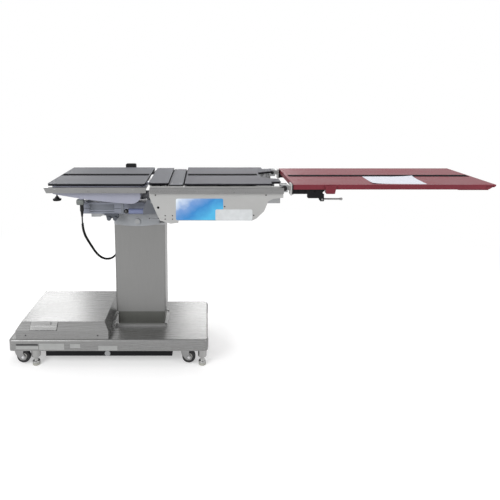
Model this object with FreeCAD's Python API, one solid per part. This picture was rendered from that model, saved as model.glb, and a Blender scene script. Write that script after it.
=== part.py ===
import FreeCAD, Part
import math
import os

os.makedirs("parts", exist_ok=True)
V = FreeCAD.Vector
NEAR_FAR = (-1, 1)

# Driving dimensions, in millimetres. X runs along the table towards the leg
# board, Y across it, Z up from the floor. X is 0 halfway along the whole
# table and Y is 0 on its middle plane.

# Clearances
face_gap = 0.3          # between faces of pieces that move past each other
running_fit = 0.05      # radial, pin or rod in its bore
pocket_fit = 1.0        # round a piece that is slipped into an opening

# The tabletop's height, from which everything above the lower sleeve hangs
top_z = 1009.0

# Base
base_left = -1261.0
base_right = -196.0
base_half_width = 240.0
base_top = 158.0
skirt_bottom = 96.0
base_corner_radius = 22.0
base_edge_radius = 9.0
sheet = 2.0             # stainless sheet of the base cover and the hood
chassis_thick = 12.0
side_rail_left = -1070.0
side_rail_right = -388.0
side_rail_bottom = 54.0
side_rail_outer = 215.0
side_rail_width = 45.0
cross_shaft_x = -736.0
cross_shaft_z = 72.0
cross_shaft_radius = 10.0
cross_cap_radius = 15.0
cross_cap_thick = 8.0

# Hood over the pump
hood_left = -1222.0
hood_half_width = 231.0
hood_wall_top = 206.0
hood_top = 242.0
hood_top_left = -1199.0
pump_gap = 60.0           # from the hood's left side
pump_length = 190.0
pump_half_width = 150.0
hood_top_half_width = 198.0
flap_left = -1146.0
flap_right = -1003.0
flap_thick = 3.0
flap_ridge = 4.0
flap_tab_length = 76.0

# Casters and brake feet
caster_left_x = -1219.0
caster_right_x = -324.0
caster_y = 200.0
caster_trail = 25.0
wheel_radius = 36.0
wheel_width = 24.0
wheel_centre_z = 47.0
tyre_thick = 8.0
axle_radius = 5.0
fork_wall = 3.0
foot_left_x = -1127.0
foot_right_x = -226.0
foot_y = 205.0
foot_sleeve_radius = 24.0
foot_pad_radius = 20.5
foot_pad_thick = 24.0
foot_housing_radius = 32.0

# Column
column_x = -570.0
column_length = 277.0
column_depth = 164.0
column_corner_radius = 10.0
sleeve_wall = 3.0
sleeve_gap = 5.0
lower_sleeve_wall = 4.0
upper_sleeve_bottom = 244.0
lower_sleeve_top = 600.0
flange_thick = 12.0
flange_margin = 8.0
flange_bolt_radius = 6.0
flange_bolt_head = 5.0
hood_gap = 10.5           # between the pump hood and the column's flange
hood_right_run = 26.0
hood_right = column_x - column_length / 2 - flange_margin - hood_gap
hood_top_right = hood_right - hood_right_run
head_plate_top = top_z - 252.0
head_plate_thick = 12.0
guide_pad_height = 60.0
guide_pad_width = 30.0

# Lift cylinder
barrel_radius = 46.0
barrel_wall = 8.0
barrel_top = 560.0
barrel_cap = 14.0
ram_radius = 25.0
piston_bottom = 255.0
piston_height = 30.0

# Cradle: tilts lengthwise on a pin across the column head
tilt_pin_x = -579.0
tilt_pin_z = top_z - 240.0
tilt_pin_radius = 12.0
tilt_boss_radius = 17.0
tilt_boss_proud = 6.0
bearing_block_radius = 28.0
bearing_block_half_depth = 70.0
cradle_left = -704.0
cradle_right = -460.0
cradle_inner_y = 88.0
cradle_plate = 12.0
cradle_bottom = top_z - 266.0
cradle_bottom_rise = 13.0
cradle_deck_bottom = top_z - 206.0
roll_axis_z = top_z - 161.0
roll_pin_radius = 10.0
roll_lug_radius = 24.0
roll_lug_thick = 20.0

# Slide base: rolls sideways on the cradle and carries the sliding top
slide_left = -864.0
slide_right = -75.0
slide_half_width = 150.0
slide_wall = 8.0
slide_bottom = top_z - 183.0
slide_top = top_z - 123.0
guide_rail_y = 110.0
guide_rail_width = 20.0
guide_rail_height = 10.0
guide_rail_inset = 12.0
recess_left = -823.0
recess_right = -693.0
recess_depth = 3.0
recess_margin = 10.0
fitting_left = -815.0
fitting_middle = -757.0
fitting_right = -671.0
fitting_proud = 8.0
fitting_knob_radius = 11.0
stop_left = -509.0
stop_right = -450.0
stop_depth = 22.0

# Tabletop, common sizes
skin_thick = 3.0
core_thick = 9.0
panel_half_width = 254.0
strip_width = 50.0
strip_thick = 1.5
rail_height = 28.6
rail_thick = 10.0
rail_spacing = 9.0        # beside the panels
rail_inner_y = panel_half_width + rail_spacing
rail_spacer_radius = 9.0
rail_stop_radius = 5.0
rail_stop_proud = 3.0

# Sliding top: the seat section
seat_right = 186.0
cover_overhang = 3.0      # beyond the panels
cover_outer_y = panel_half_width + cover_overhang
cover_wall = 3.0
seat_rail_left = -490.0
seat_stop_left = -65.0
seat_stop_right = -7.0
seat_rail_bottom = top_z - 48.6
frame_setback = 9.0       # inside the panels
frame_outer_y = panel_half_width - frame_setback
frame_wall = 20.0
frame_top = top_z - 24.0
frame_bottom = top_z - 104.0
frame_left = -488.0
frame_right = 172.0
cross_bottom = top_z - 77.0
cross_width = 26.0
carriage_left_x = -430.0
carriage_right_x = -107.0
carriage_length = 70.0
carriage_width = 50.0
lumbar_left = -498.0
lumbar_right = -398.0
lumbar_inset = 22.0
lumbar_half_width = panel_half_width - lumbar_inset
bridge_left = -393.0
bridge_right = -323.0
bridge_inset = 14.0
bridge_half_width = panel_half_width - bridge_inset
bridge_drop = 8.0
bridge_post_radius = 9.0
bridge_post_inset = 50.0
bridge_post_y = bridge_half_width - bridge_post_inset
bridge_post_bottom = top_z - 169.0
bridge_guide_radius = 16.0
bridge_guide_bottom = top_z - 124.0
seat_panel_left = -314.0
seat_panel_right = 180.0
notch_left = 128.0
notch_width = 54.0
notch_inner_y = panel_half_width - notch_width
cutout_left = 89.0
cutout_inner_half = 77.0
cutout_outer_half = 128.0
cutout_radius = 30.0

# Back section
hinge_x = -507.0
hinge_z = top_z - 9.0
hinge_knuckle_radius = 7.5
hinge_pin_radius = 4.0
hinge_arm_inner_y = 150.0
hinge_knuckle_length = 26.0
back_left = -1008.0
back_right = -516.0
back_corner_radius = 12.0
back_rail_left = -1023.0
back_rail_right = -508.0
back_stop_left = -802.0
back_stop_right = -737.0
back_rail_bottom = top_z - 46.0
shell_inset = 19.0
shell_half_width = panel_half_width - shell_inset
shell_left = -992.0
shell_right = -542.0
shell_wall = 4.0
shell_end_depth = 57.0     # under the tabletop
shell_depth = 109.0
shell_hinge_depth = 83.0
socket_y = 150.0
socket_z = top_z - 37.0
socket_radius = 8.0
socket_block_half = 20.0
socket_length = 62.0
socket_left = shell_left - 14.0
knob_radius = 21.0
knob_top = top_z - 89.0
knob_bottom = top_z - 110.0
knob_stem_radius = 4.0
knob_x = shell_left - 2.0

# Back cylinders under the shell
cylinder_inset = 30.0     # from the shell's side
cylinder_y = shell_half_width - cylinder_inset
cylinder_z = top_z - 156.0
cylinder_radius = 14.0
cylinder_left = -608.0
cylinder_right = -530.0
cylinder_ball_radius = 12.0
cylinder_ball_x = -620.0
lug_thick = 14.0
lug_half = 9.0

# Leg drive and leg board
leg_pin_x = 192.0
leg_pin_z = top_z - 25.0
leg_pin_radius = 8.0
leg_hub_radius = 15.0
leg_block_left = 174.0
leg_block_right = 208.0
leg_block_bottom = top_z - 45.0
leg_block_top = top_z - 6.0
leg_cheek_inset = 1.0
leg_fork_width = 48.0     # over both cheeks
leg_cheek_outer_y = panel_half_width - leg_cheek_inset
leg_cheek_inner_y = leg_cheek_outer_y - leg_fork_width
leg_plate_inner_margin = 4.0
leg_plate_outer_margin = 5.0
leg_cheek = 10.0
leg_plate_left = 223.0
leg_plate_thick = 6.0
leg_plate_bottom = top_z - 61.0
leg_plate_top = top_z - 3.0
board_left = 237.0
board_right = 1261.0
board_top = top_z - 6.0
board_thick = 25.0
board_end_undercut = 28.0
board_batten_inset = 16.0
board_batten_left = board_right - 181.0
end_notch_left = board_right - 52.0
end_notch_right = board_right - 11.0
end_notch_depth = 8.0
board_pin_radius = 6.0
board_pin_length = 22.0
board_bracket_right = 396.0
board_bracket_bottom = board_top - 50.0
lock_left = 314.0
lock_bottom = board_top - 72.0
lever_axis_x = 386.0
lever_axis_drop = 54.0    # under the board
lock_ear_reach = 14.0
lock_ear_width = 9.0
lock_ear_thick = 6.0
lever_pin_radius = 5.0
lever_hub_radius = 8.0
lever_ball_radius = 7.0
bracket_inset = 9.0       # from the board's side
bracket_width = 30.0
lever_length = 108.0
clamp_boss_left = 395.0
clamp_boss_right = 453.0
clamp_boss_bottom = board_top - 46.0

# Hand control and its cord
control_left = -697.0
control_right = -634.0
control_top = top_z + 19.0
control_bottom = top_z - 147.0
control_thick = 22.0
gland_length = 14.0
gland_radius = 5.5
cord_diameter = 7.0
plug_x = shell_left + 141.0
plug_y = -203.0
plug_radius = 10.0
plug_top = top_z - 92.0
plug_bottom = top_z - 187.0


def box(x0, x1, y0, y1, z0, z1):
    """A block between two corners, whichever way round they are given."""
    low = V(min(x0, x1), min(y0, y1), min(z0, z1))
    return Part.makeBox(abs(x1 - x0), abs(y1 - y0), abs(z1 - z0), low)


def rod(start, direction, radius, length):
    """A round bar from a point along a direction."""
    return Part.makeCylinder(radius, length, V(*start), V(*direction))


def cross_rod(x, z, radius, y0, y1):
    """A round bar across the table."""
    return rod((x, min(y0, y1), z), (0, 1, 0), radius, abs(y1 - y0))


def side_profile(points, y0, y1):
    """A side view, given as X and Z points, made solid between two Y planes."""
    low, high = sorted((y0, y1))
    corners = [V(x, low, z) for x, z in points]
    outline = Part.makePolygon(corners + corners[:1])
    return Part.Face(outline).extrude(V(0, high - low, 0))


def plan(points, z0, z1):
    """A plan view, given as X and Y points, made solid between two heights."""
    corners = [V(x, y, z0) for x, y in points]
    outline = Part.makePolygon(corners + corners[:1])
    return Part.Face(outline).extrude(V(0, 0, z1 - z0))


def round_edges(shape, radius, chosen):
    """Round the straight edges that a test on their two ends picks."""
    edges = []
    for edge in shape.Edges:
        if len(edge.Vertexes) == 2:
            a, b = (v.Point for v in edge.Vertexes)
            if chosen(a, b):
                edges.append(edge)
    return shape.makeFillet(radius, edges)


def upright(a, b):
    return abs(a.x - b.x) < 0.01 and abs(a.y - b.y) < 0.01


def at_height(z):
    return lambda a, b: abs(a.z - z) < 0.01 and abs(b.z - z) < 0.01


def rounded_block(x0, x1, half_y, z0, z1, corner):
    """A block about the middle plane with its upright edges rounded."""
    return round_edges(box(x0, x1, -half_y, half_y, z0, z1), corner, upright)


def fuse(shapes):
    """One solid from several that touch or overlap."""
    whole = shapes[0]
    for shape in shapes[1:]:
        whole = whole.fuse(shape)
    return whole.removeSplitter()


def cut(shape, tools):
    for tool in tools:
        shape = shape.cut(tool)
    return shape


def save(name, *shapes):
    """Write one node, which may be a group of separate solids."""
    solids = [s for shape in shapes for s in shape.Solids]
    whole = solids[0] if len(solids) == 1 else Part.makeCompound(solids)
    whole.exportStep("parts/" + name + ".step")


# Places that follow from the sizes above
chassis_bottom = skirt_bottom + 8.0
chassis_top = chassis_bottom + chassis_thick
flange_half_x = column_length / 2 + flange_margin
flange_half_y = column_depth / 2 + flange_margin
flange_top = base_top + flange_thick
head_plate_bottom = head_plate_top - head_plate_thick
core_top = top_z - skin_thick
core_bottom = core_top - core_thick
rail_outer_y = rail_inner_y + rail_thick
board_bottom = board_top - board_thick
lever_axis_z = board_bottom - lever_axis_drop
lug_right = cylinder_ball_x - cylinder_ball_radius - face_gap
bridge_guide_top = core_bottom - bridge_drop - face_gap


def pedestal(margin):
    """The raised seat under the column flange, or the opening round it."""
    half_x = column_length / 2 - 30.0 + margin
    half_y = column_depth / 2 - 20.0 + margin
    return box(column_x - half_x, column_x + half_x, -half_y, half_y, chassis_top, base_top)


def base_cover():
    """A folded stainless tray, open below, with an opening for the column seat."""
    outer = rounded_block(base_left, base_right, base_half_width, skirt_bottom, base_top,
                          base_corner_radius)
    outer = round_edges(outer, base_edge_radius, at_height(base_top))
    inner = rounded_block(base_left + sheet, base_right - sheet, base_half_width - sheet,
                          skirt_bottom - 1.0, base_top - sheet, base_corner_radius - sheet)
    inner = round_edges(inner, base_edge_radius - sheet, at_height(base_top - sheet))
    return cut(outer, [inner, pedestal(pocket_fit)])


def caster_places():
    for x in (caster_left_x, caster_right_x):
        for side in NEAR_FAR:
            yield x, side * caster_y


def foot_places():
    for x in (foot_left_x, foot_right_x):
        for side in NEAR_FAR:
            yield x, side * foot_y


def chassis():
    """Steel plate, two hanging side rails, foot guides and the column seat."""
    inset = 14.0
    parts = [box(base_left + inset, base_right - inset, -base_half_width + inset,
                 base_half_width - inset, chassis_bottom, chassis_top)]
    for side in NEAR_FAR:
        inner = side * (side_rail_outer - side_rail_width)
        parts.append(box(side_rail_left, side_rail_right, inner, side * side_rail_outer,
                         side_rail_bottom, chassis_bottom))
    parts.append(pedestal(0.0))
    guide_top = base_top - sheet - 6.0
    tools = []
    for x, y in foot_places():
        guide = rod((x, y, chassis_bottom - 6.0), (0, 0, 1), foot_housing_radius,
                    guide_top - chassis_bottom + 6.0)
        parts.append(guide)
        tools.append(rod((x, y, 0), (0, 0, 1), foot_sleeve_radius + running_fit, base_top))
    for x, y in caster_places():
        parts.append(rod((x, y, chassis_top), (0, 0, 1), 18.0, 24.0))
        tools.append(rod((x, y, 0), (0, 0, 1), 8.0 + running_fit, base_top))
    reach = side_rail_outer + 1.0
    tools.append(cross_rod(cross_shaft_x, cross_shaft_z, cross_shaft_radius + running_fit,
                           -reach, reach))
    return cut(fuse(parts), tools)


def cross_shaft():
    """The round shaft through both side rails, with a cap on each end."""
    end = side_rail_outer + face_gap + cross_cap_thick
    shape = cross_rod(cross_shaft_x, cross_shaft_z, cross_shaft_radius, -end, end)
    caps = [cross_rod(cross_shaft_x, cross_shaft_z, cross_cap_radius,
                      side * (end - cross_cap_thick), side * end) for side in NEAR_FAR]
    return fuse([shape] + caps)


def tapered(x0, x1, half0, z0, x2, x3, half1, z1):
    """A loft from one rectangle about the middle plane up to a smaller one."""
    low = Part.makePolygon([V(x0, -half0, z0), V(x1, -half0, z0), V(x1, half0, z0),
                            V(x0, half0, z0), V(x0, -half0, z0)])
    high = Part.makePolygon([V(x2, -half1, z1), V(x3, -half1, z1), V(x3, half1, z1),
                             V(x2, half1, z1), V(x2, -half1, z1)])
    return Part.makeLoft([low, high], True, True)


def hood_form(inset):
    """The hood's outside, or its inside when inset by the sheet."""
    wall = box(hood_left + inset, hood_right - inset, -hood_half_width + inset,
               hood_half_width - inset, base_top - (1.0 if inset else 0.0), hood_wall_top)
    roof = tapered(hood_left + inset, hood_right - inset, hood_half_width - inset,
                   hood_wall_top, hood_top_left + inset, hood_top_right - inset,
                   hood_top_half_width - inset, hood_top - inset)
    return fuse([wall, roof])


def motor_hood():
    return cut(hood_form(0.0), [hood_form(sheet)])


def flap_strip(x0, x1, low, high, thick):
    """A strip lying on the hood's near slope, from one share of its height to another."""
    run = hood_half_width - hood_top_half_width
    rise = hood_top - hood_wall_top
    slope = math.hypot(run, rise)
    out = V(0, -rise / slope, run / slope)
    ends = []
    for share in (low, high):
        ends.append(V(0, -hood_half_width + share * run, hood_wall_top + share * rise))
    base = [ends[0], ends[1], ends[1] + out * thick, ends[0] + out * thick]
    corners = [V(x0, p.y, p.z) for p in base]
    face = Part.Face(Part.makePolygon(corners + corners[:1]))
    return face.extrude(V(x1 - x0, 0, 0))


def hood_flap():
    """The access cover on the hood's near slope, with its ridge and finger tab."""
    plate = flap_strip(flap_left, flap_right, 0.03, 0.97, flap_thick)
    ridge = flap_strip(flap_left, flap_right, 0.44, 0.56, flap_thick + flap_ridge)
    middle = (flap_left + flap_right) / 2 - 2.0
    tab = flap_strip(middle - flap_tab_length / 2, middle + flap_tab_length / 2,
                     0.60, 0.97, flap_thick + flap_ridge + 3.0)
    return fuse([plate, ridge, tab])


def pump_unit():
    """Motor pump and oil tank under the hood, standing on the chassis plate."""
    tank = box(hood_left + pump_gap, hood_left + pump_gap + pump_length, -pump_half_width,
               pump_half_width, chassis_top,
               base_top - sheet - 8.0)
    return tank


def ballast():
    """The cast weight at the right end that balances the long leg board."""
    return box(column_x + column_length / 2 + 40.0, base_right - 70.0, -165.0, 165.0,
               chassis_top, base_top - sheet - 6.0)


def caster_fork(x, y):
    """Crown and stem, two legs swept back by the trail, and the axle."""
    top = chassis_bottom - face_gap
    crown_bottom = wheel_centre_z + wheel_radius + 5.0
    parts = [rod((x, y, crown_bottom), (0, 0, 1), 25.0, top - crown_bottom),
             rod((x, y, top), (0, 0, 1), 8.0, 34.0)]
    axle_x = x + caster_trail
    inner = wheel_width / 2 + 1.0
    for side in NEAR_FAR:
        near = y + side * inner
        far = y + side * (inner + fork_wall)
        leg = side_profile([(x - 18.0, crown_bottom), (x + 18.0, crown_bottom),
                            (axle_x + 11.0, wheel_centre_z), (axle_x - 11.0, wheel_centre_z)],
                           near, far)
        eye = cross_rod(axle_x, wheel_centre_z, 11.0, near, far)
        parts += [leg, eye]
    far = inner + fork_wall
    parts.append(cross_rod(axle_x, wheel_centre_z, axle_radius, y - far - 2.0, y + far + 2.0))
    return fuse(parts)


def wheel_pieces(x, y):
    """The tyre and the hub of one caster wheel."""
    axle_x = x + caster_trail
    half = wheel_width / 2
    rim = wheel_radius - tyre_thick
    tyre = cross_rod(axle_x, wheel_centre_z, wheel_radius, y - half, y + half)
    edges = [e for e in tyre.Edges if abs(e.Length - 2 * math.pi * wheel_radius) < 1.0]
    tyre = tyre.makeFillet(4.0, edges)
    tyre = tyre.cut(cross_rod(axle_x, wheel_centre_z, rim, y - half, y + half))
    hub = cross_rod(axle_x, wheel_centre_z, rim, y - half + 1.0, y + half - 1.0)
    for side in NEAR_FAR:
        face = y + side * (half - 1.0)
        dish = cross_rod(axle_x, wheel_centre_z, rim - 5.0, face, face - side * 5.0)
        boss = cross_rod(axle_x, wheel_centre_z, 10.0, face, face - side * 5.0)
        hub = hub.cut(dish.cut(boss))
    hub = hub.cut(cross_rod(axle_x, wheel_centre_z, axle_radius + running_fit, y - half,
                            y + half))
    return tyre, hub


def brake_foot(x, y):
    """A pad on the floor under the sleeve that slides in its chassis guide."""
    pad = Part.makeCone(foot_pad_radius, foot_pad_radius - 3.0, foot_pad_thick, V(x, y, 0))
    sleeve = rod((x, y, foot_pad_thick), (0, 0, 1), foot_sleeve_radius, 96.0)
    return fuse([pad, sleeve])


save("base_cover", base_cover())
save("base_chassis", chassis())
save("cross_shaft", cross_shaft())
save("motor_hood", motor_hood())
save("hood_flap", hood_flap())
save("pump_unit", pump_unit())
save("ballast", ballast())
for number, (x, y) in enumerate(caster_places(), 1):
    tyre, hub = wheel_pieces(x, y)
    save("caster_fork_%d" % number, caster_fork(x, y))
    save("caster_wheel_%d" % number, tyre, hub)
for number, (x, y) in enumerate(foot_places(), 1):
    save("brake_foot_%d" % number, brake_foot(x, y))


def column_tube(half_x, half_y, wall, z0, z1, corner):
    """A rectangular tube round the column's middle."""
    outer = box(column_x - half_x, column_x + half_x, -half_y, half_y, z0, z1)
    outer = round_edges(outer, corner, upright)
    inner = box(column_x - half_x + wall, column_x + half_x - wall, -half_y + wall,
                half_y - wall, z0 - 1.0, z1 + 1.0)
    inner = round_edges(inner, corner - wall, upright)
    return outer.cut(inner)


outer_half_x = column_length / 2
outer_half_y = column_depth / 2
inner_offset = sleeve_wall + sleeve_gap
lower_half_x = outer_half_x - inner_offset
lower_half_y = outer_half_y - inner_offset
lower_corner = column_corner_radius - sleeve_wall


def flange_plate():
    plate = box(column_x - flange_half_x, column_x + flange_half_x, -flange_half_y,
                flange_half_y, base_top, flange_top)
    return round_edges(plate, 6.0, upright)


def flange_bolts():
    """Hexagon heads standing on the flange beside the sleeve."""
    heads = []
    for step in (-1, 1):
        for side in NEAR_FAR:
            x = column_x + step * (flange_half_x - flange_bolt_radius - 2.0)
            y = side * (flange_half_y - flange_bolt_radius - 2.0)
            corners = []
            for turn in range(6):
                angle = math.radians(60 * turn)
                corners.append((x + flange_bolt_radius * math.cos(angle),
                                y + flange_bolt_radius * math.sin(angle)))
            heads.append(plan(corners, flange_top, flange_top + flange_bolt_head))
    return heads


def lower_sleeve():
    return column_tube(lower_half_x, lower_half_y, lower_sleeve_wall, flange_top,
                       lower_sleeve_top, lower_corner)


def lift_barrel():
    """The lift cylinder's barrel on the flange, with a gland cap at its top."""
    tube = rod((column_x, 0, flange_top), (0, 0, 1), barrel_radius, barrel_top - flange_top)
    bore = rod((column_x, 0, flange_top + barrel_cap), (0, 0, 1),
               barrel_radius - barrel_wall, barrel_top - barrel_cap - flange_top - barrel_cap)
    gland = rod((column_x, 0, barrel_top - barrel_cap - 1.0), (0, 0, 1),
                ram_radius + running_fit, barrel_cap + 2.0)
    return cut(tube, [bore, gland])


def lift_ram():
    """Piston and ram, which reach the head plate."""
    ram = rod((column_x, 0, piston_bottom), (0, 0, 1), ram_radius,
              head_plate_bottom - piston_bottom)
    piston = rod((column_x, 0, piston_bottom), (0, 0, 1),
                 barrel_radius - barrel_wall - face_gap, piston_height)
    return fuse([ram, piston])


def upper_sleeve():
    return column_tube(outer_half_x, outer_half_y, sleeve_wall, upper_sleeve_bottom,
                       head_plate_bottom, column_corner_radius)


def guide_pads():
    """Plastic pads inside the upper sleeve's lower end, that run on the lower one."""
    pads = []
    z0 = upper_sleeve_bottom + 10.0
    z1 = z0 + guide_pad_height
    thick = sleeve_gap - face_gap
    for side in NEAR_FAR:
        wall_y = side * (outer_half_y - sleeve_wall)
        for step in (-1, 1):
            x = column_x + step * (outer_half_x - 50.0)
            pads.append(box(x - guide_pad_width / 2, x + guide_pad_width / 2, wall_y,
                            wall_y - side * thick, z0, z1))
        wall_x = column_x + side * (outer_half_x - sleeve_wall)
        for step in (-1, 1):
            y = step * (outer_half_y - 40.0)
            pads.append(box(wall_x, wall_x - side * thick, y - guide_pad_width / 2,
                            y + guide_pad_width / 2, z0, z1))
    return pads


def column_head():
    """Head plate with the bearing block of the lengthwise tilt."""
    plate = box(column_x - outer_half_x, column_x + outer_half_x, -outer_half_y,
                outer_half_y, head_plate_bottom, head_plate_top)
    plate = round_edges(plate, column_corner_radius, upright)
    half = bearing_block_half_depth
    block = box(tilt_pin_x - bearing_block_radius, tilt_pin_x + bearing_block_radius,
                -half, half, head_plate_top, tilt_pin_z)
    top = cross_rod(tilt_pin_x, tilt_pin_z, bearing_block_radius, -half, half)
    top = top.cut(box(tilt_pin_x - 60.0, tilt_pin_x + 60.0, -half, half, 0, head_plate_bottom))
    bore = cross_rod(tilt_pin_x, tilt_pin_z, tilt_pin_radius + running_fit, -half, half)
    return cut(fuse([plate, block, top]), [bore])


save("column_flange", flange_plate())
save("flange_bolts", *flange_bolts())
save("lower_sleeve", lower_sleeve())
save("lift_barrel", lift_barrel())
save("lift_ram", lift_ram())
save("upper_sleeve", upper_sleeve())
save("guide_pads", *guide_pads())
save("column_head", column_head())


def arched_side(y0, y1):
    """A cradle side: straight on top, a shallow arc below."""
    low, high = sorted((y0, y1))
    top = cradle_deck_bottom + cradle_plate
    rise = cradle_bottom + cradle_bottom_rise
    a, b = V(cradle_left, low, rise), V(cradle_right, low, rise)
    middle = V((cradle_left + cradle_right) / 2, low, cradle_bottom)
    c, d = V(cradle_right, low, top), V(cradle_left, low, top)
    outline = Part.Wire([Part.Arc(a, middle, b).toShape(), Part.makeLine(b, c),
                         Part.makeLine(c, d), Part.makeLine(d, a)])
    return Part.Face(outline).extrude(V(0, high - low, 0))


def roll_lug(x0, x1, half_y, foot_z):
    """An upright lug round the roll axis, on a foot at the given height."""
    base = box(x0, x1, -half_y, half_y, foot_z, roll_axis_z)
    eye = rod((min(x0, x1), 0, roll_axis_z), (1, 0, 0), roll_lug_radius, abs(x1 - x0))
    if half_y > roll_lug_radius:
        base = box(x0, x1, -half_y, half_y, foot_z, foot_z + 8.0)
        web = box(x0, x1, -roll_lug_radius, roll_lug_radius, foot_z, roll_axis_z)
        return fuse([base, web, eye])
    return fuse([base, eye])


def roll_bore(radius):
    return rod((cradle_left - 50.0, 0, roll_axis_z), (1, 0, 0), radius, 400.0)


def cradle():
    """Yoke over the column head: two arched sides, a deck and two lugs."""
    outer_y = cradle_inner_y + cradle_plate
    deck_top = cradle_deck_bottom + cradle_plate
    parts = [box(cradle_left, cradle_right, -outer_y, outer_y, cradle_deck_bottom, deck_top)]
    for side in NEAR_FAR:
        parts.append(arched_side(side * cradle_inner_y, side * outer_y))
        parts.append(cross_rod(tilt_pin_x, tilt_pin_z, tilt_boss_radius, side * outer_y,
                               side * (outer_y + tilt_boss_proud)))
    parts.append(roll_lug(cradle_left, cradle_left + roll_lug_thick, 40.0, deck_top))
    parts.append(roll_lug(cradle_right - roll_lug_thick, cradle_right, 40.0, deck_top))
    reach = outer_y + tilt_boss_proud
    pin = cross_rod(tilt_pin_x, tilt_pin_z, tilt_pin_radius, -reach, reach)
    return cut(fuse(parts), [pin, roll_bore(roll_pin_radius)])


def tilt_pin():
    reach = cradle_inner_y + cradle_plate + tilt_boss_proud
    return cross_rod(tilt_pin_x, tilt_pin_z, tilt_pin_radius, -reach, reach)


def roll_pin():
    return rod((cradle_left, 0, roll_axis_z), (1, 0, 0), roll_pin_radius,
               cradle_right - cradle_left)


def slide_base():
    """An inverted channel over the cradle, hung on the roll pin by two lugs."""
    outer = box(slide_left, slide_right, -slide_half_width, slide_half_width,
                slide_bottom, slide_top)
    outer = round_edges(outer, 5.0, upright)
    inner = box(slide_left + slide_wall, slide_right - slide_wall,
                -slide_half_width + slide_wall, slide_half_width - slide_wall,
                slide_bottom - 1.0, slide_top - slide_wall)
    shape = outer.cut(inner)
    for side in NEAR_FAR:
        face = side * slide_half_width
        shape = shape.cut(box(recess_left, recess_right, face - side * recess_depth,
                              face + side, slide_bottom + 2 * recess_margin,
                              slide_top - recess_margin))
    lugs = []
    for x in (cradle_left + roll_lug_thick + face_gap,
              cradle_right - 2 * roll_lug_thick - face_gap):
        block = box(x, x + roll_lug_thick, -roll_lug_radius, roll_lug_radius, roll_axis_z,
                    slide_top - slide_wall)
        eye = rod((x, 0, roll_axis_z), (1, 0, 0), roll_lug_radius, roll_lug_thick)
        lugs += [block, eye]
    return cut(fuse([shape] + lugs), [roll_bore(roll_pin_radius + running_fit)])


def guide_rails():
    rails = []
    half = guide_rail_width / 2
    for side in NEAR_FAR:
        y = side * guide_rail_y
        rails.append(box(slide_left + guide_rail_inset, slide_right - guide_rail_inset,
                         y - half, y + half, slide_top, slide_top + guide_rail_height))
    return rails


def slide_fittings():
    """What hangs below the near side of the slide base."""
    y = -slide_half_width
    bracket_low = slide_bottom - 17.0
    block_low = slide_bottom - 23.0
    step_low = slide_bottom - 8.0
    bracket = side_profile([(fitting_left, slide_bottom), (fitting_middle, slide_bottom),
                            (fitting_middle, bracket_low + 5.0),
                            (fitting_middle - 11.0, bracket_low), (fitting_left, bracket_low)],
                           y, y + slide_wall)
    block = side_profile([(fitting_middle, slide_bottom), (fitting_right, slide_bottom),
                          (fitting_right, block_low), (fitting_middle + 24.0, block_low),
                          (fitting_middle + 20.0, step_low), (fitting_middle, step_low)],
                         y - fitting_proud, y + 2 * slide_wall)
    knobs = [cross_rod(x, block_low, fitting_knob_radius, y - fitting_proud, y - 20.0)
             for x in (fitting_right - 48.0, fitting_right - 16.0)]
    stops = fuse([box(stop_left, stop_right - 2.0, y - stop_depth, y, slide_bottom - 12.0,
                      slide_bottom + 12.0),
                  box(stop_left + 6.0, stop_right - 8.0, y - stop_depth + 4.0, y,
                      slide_bottom - 24.0, slide_bottom - 12.0),
                  box(stop_left, stop_right, y - stop_depth, y, slide_bottom - 31.0,
                      slide_bottom - 24.0)])
    return [bracket, fuse([block] + knobs), stops]


save("cradle", cradle())
save("tilt_pin", tilt_pin())
save("roll_pin", roll_pin())
save("slide_base", slide_base())
save("guide_rails", *guide_rails())
save("slide_fittings", *slide_fittings())


def hinge_arm(root_x, low_z, high_z, y0, y1):
    """A hinge knuckle in the gap between two panels, and the arm to its frame."""
    toward = 1.0 if root_x > hinge_x else -1.0
    points = [(root_x, high_z), (root_x, low_z), (hinge_x - toward * 3.5, hinge_z - 5.0),
              (hinge_x + toward * 4.0, hinge_z - 4.5)]
    arm = side_profile(points, y0, y1)
    return fuse([arm, cross_rod(hinge_x, hinge_z, hinge_knuckle_radius, y0, y1)])


def seat_knuckles():
    for side in NEAR_FAR:
        yield side * hinge_arm_inner_y, side * (hinge_arm_inner_y + hinge_knuckle_length)


def back_knuckles():
    for inner, outer in seat_knuckles():
        side = 1.0 if outer > 0 else -1.0
        yield outer + side * face_gap, outer + side * (face_gap + hinge_knuckle_length)


bridge_middle = (bridge_left + bridge_right) / 2
frame_inner_y = frame_outer_y - frame_wall
frame_flange = 8.0
frame_web = 5.0
cross_places = (frame_left, -424.0, -316.0, -120.0, 20.0)
panel_rest_places = ((-475.0, 130.0), (-411.0, 130.0), (-411.0, 215.0), (-303.0, 130.0),
                     (-303.0, 225.0), (-107.0, 130.0), (-107.0, 225.0), (33.0, 130.0),
                     (33.0, 225.0), (140.0, 192.0))


def side_member(side):
    """A channel with its open side inwards."""
    outer = box(frame_left, frame_right, side * frame_inner_y, side * frame_outer_y,
                frame_bottom, frame_top)
    hollow = box(frame_left + 60.0, frame_right - frame_flange, side * (frame_inner_y - 1.0),
                 side * (frame_outer_y - frame_web), frame_bottom + frame_flange,
                 frame_top - frame_flange)
    return outer.cut(hollow)


def carriage(x, side):
    """A block that hangs from a cross member and straddles a guide rail."""
    y = side * guide_rail_y
    block = box(x - carriage_length / 2, x + carriage_length / 2, y - carriage_width / 2,
                y + carriage_width / 2, slide_top + 1.0, cross_bottom)
    half = guide_rail_width / 2 + face_gap
    groove = box(x - carriage_length, x + carriage_length, y - half, y + half,
                 slide_top, slide_top + guide_rail_height + face_gap)
    return block.cut(groove)


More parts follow.
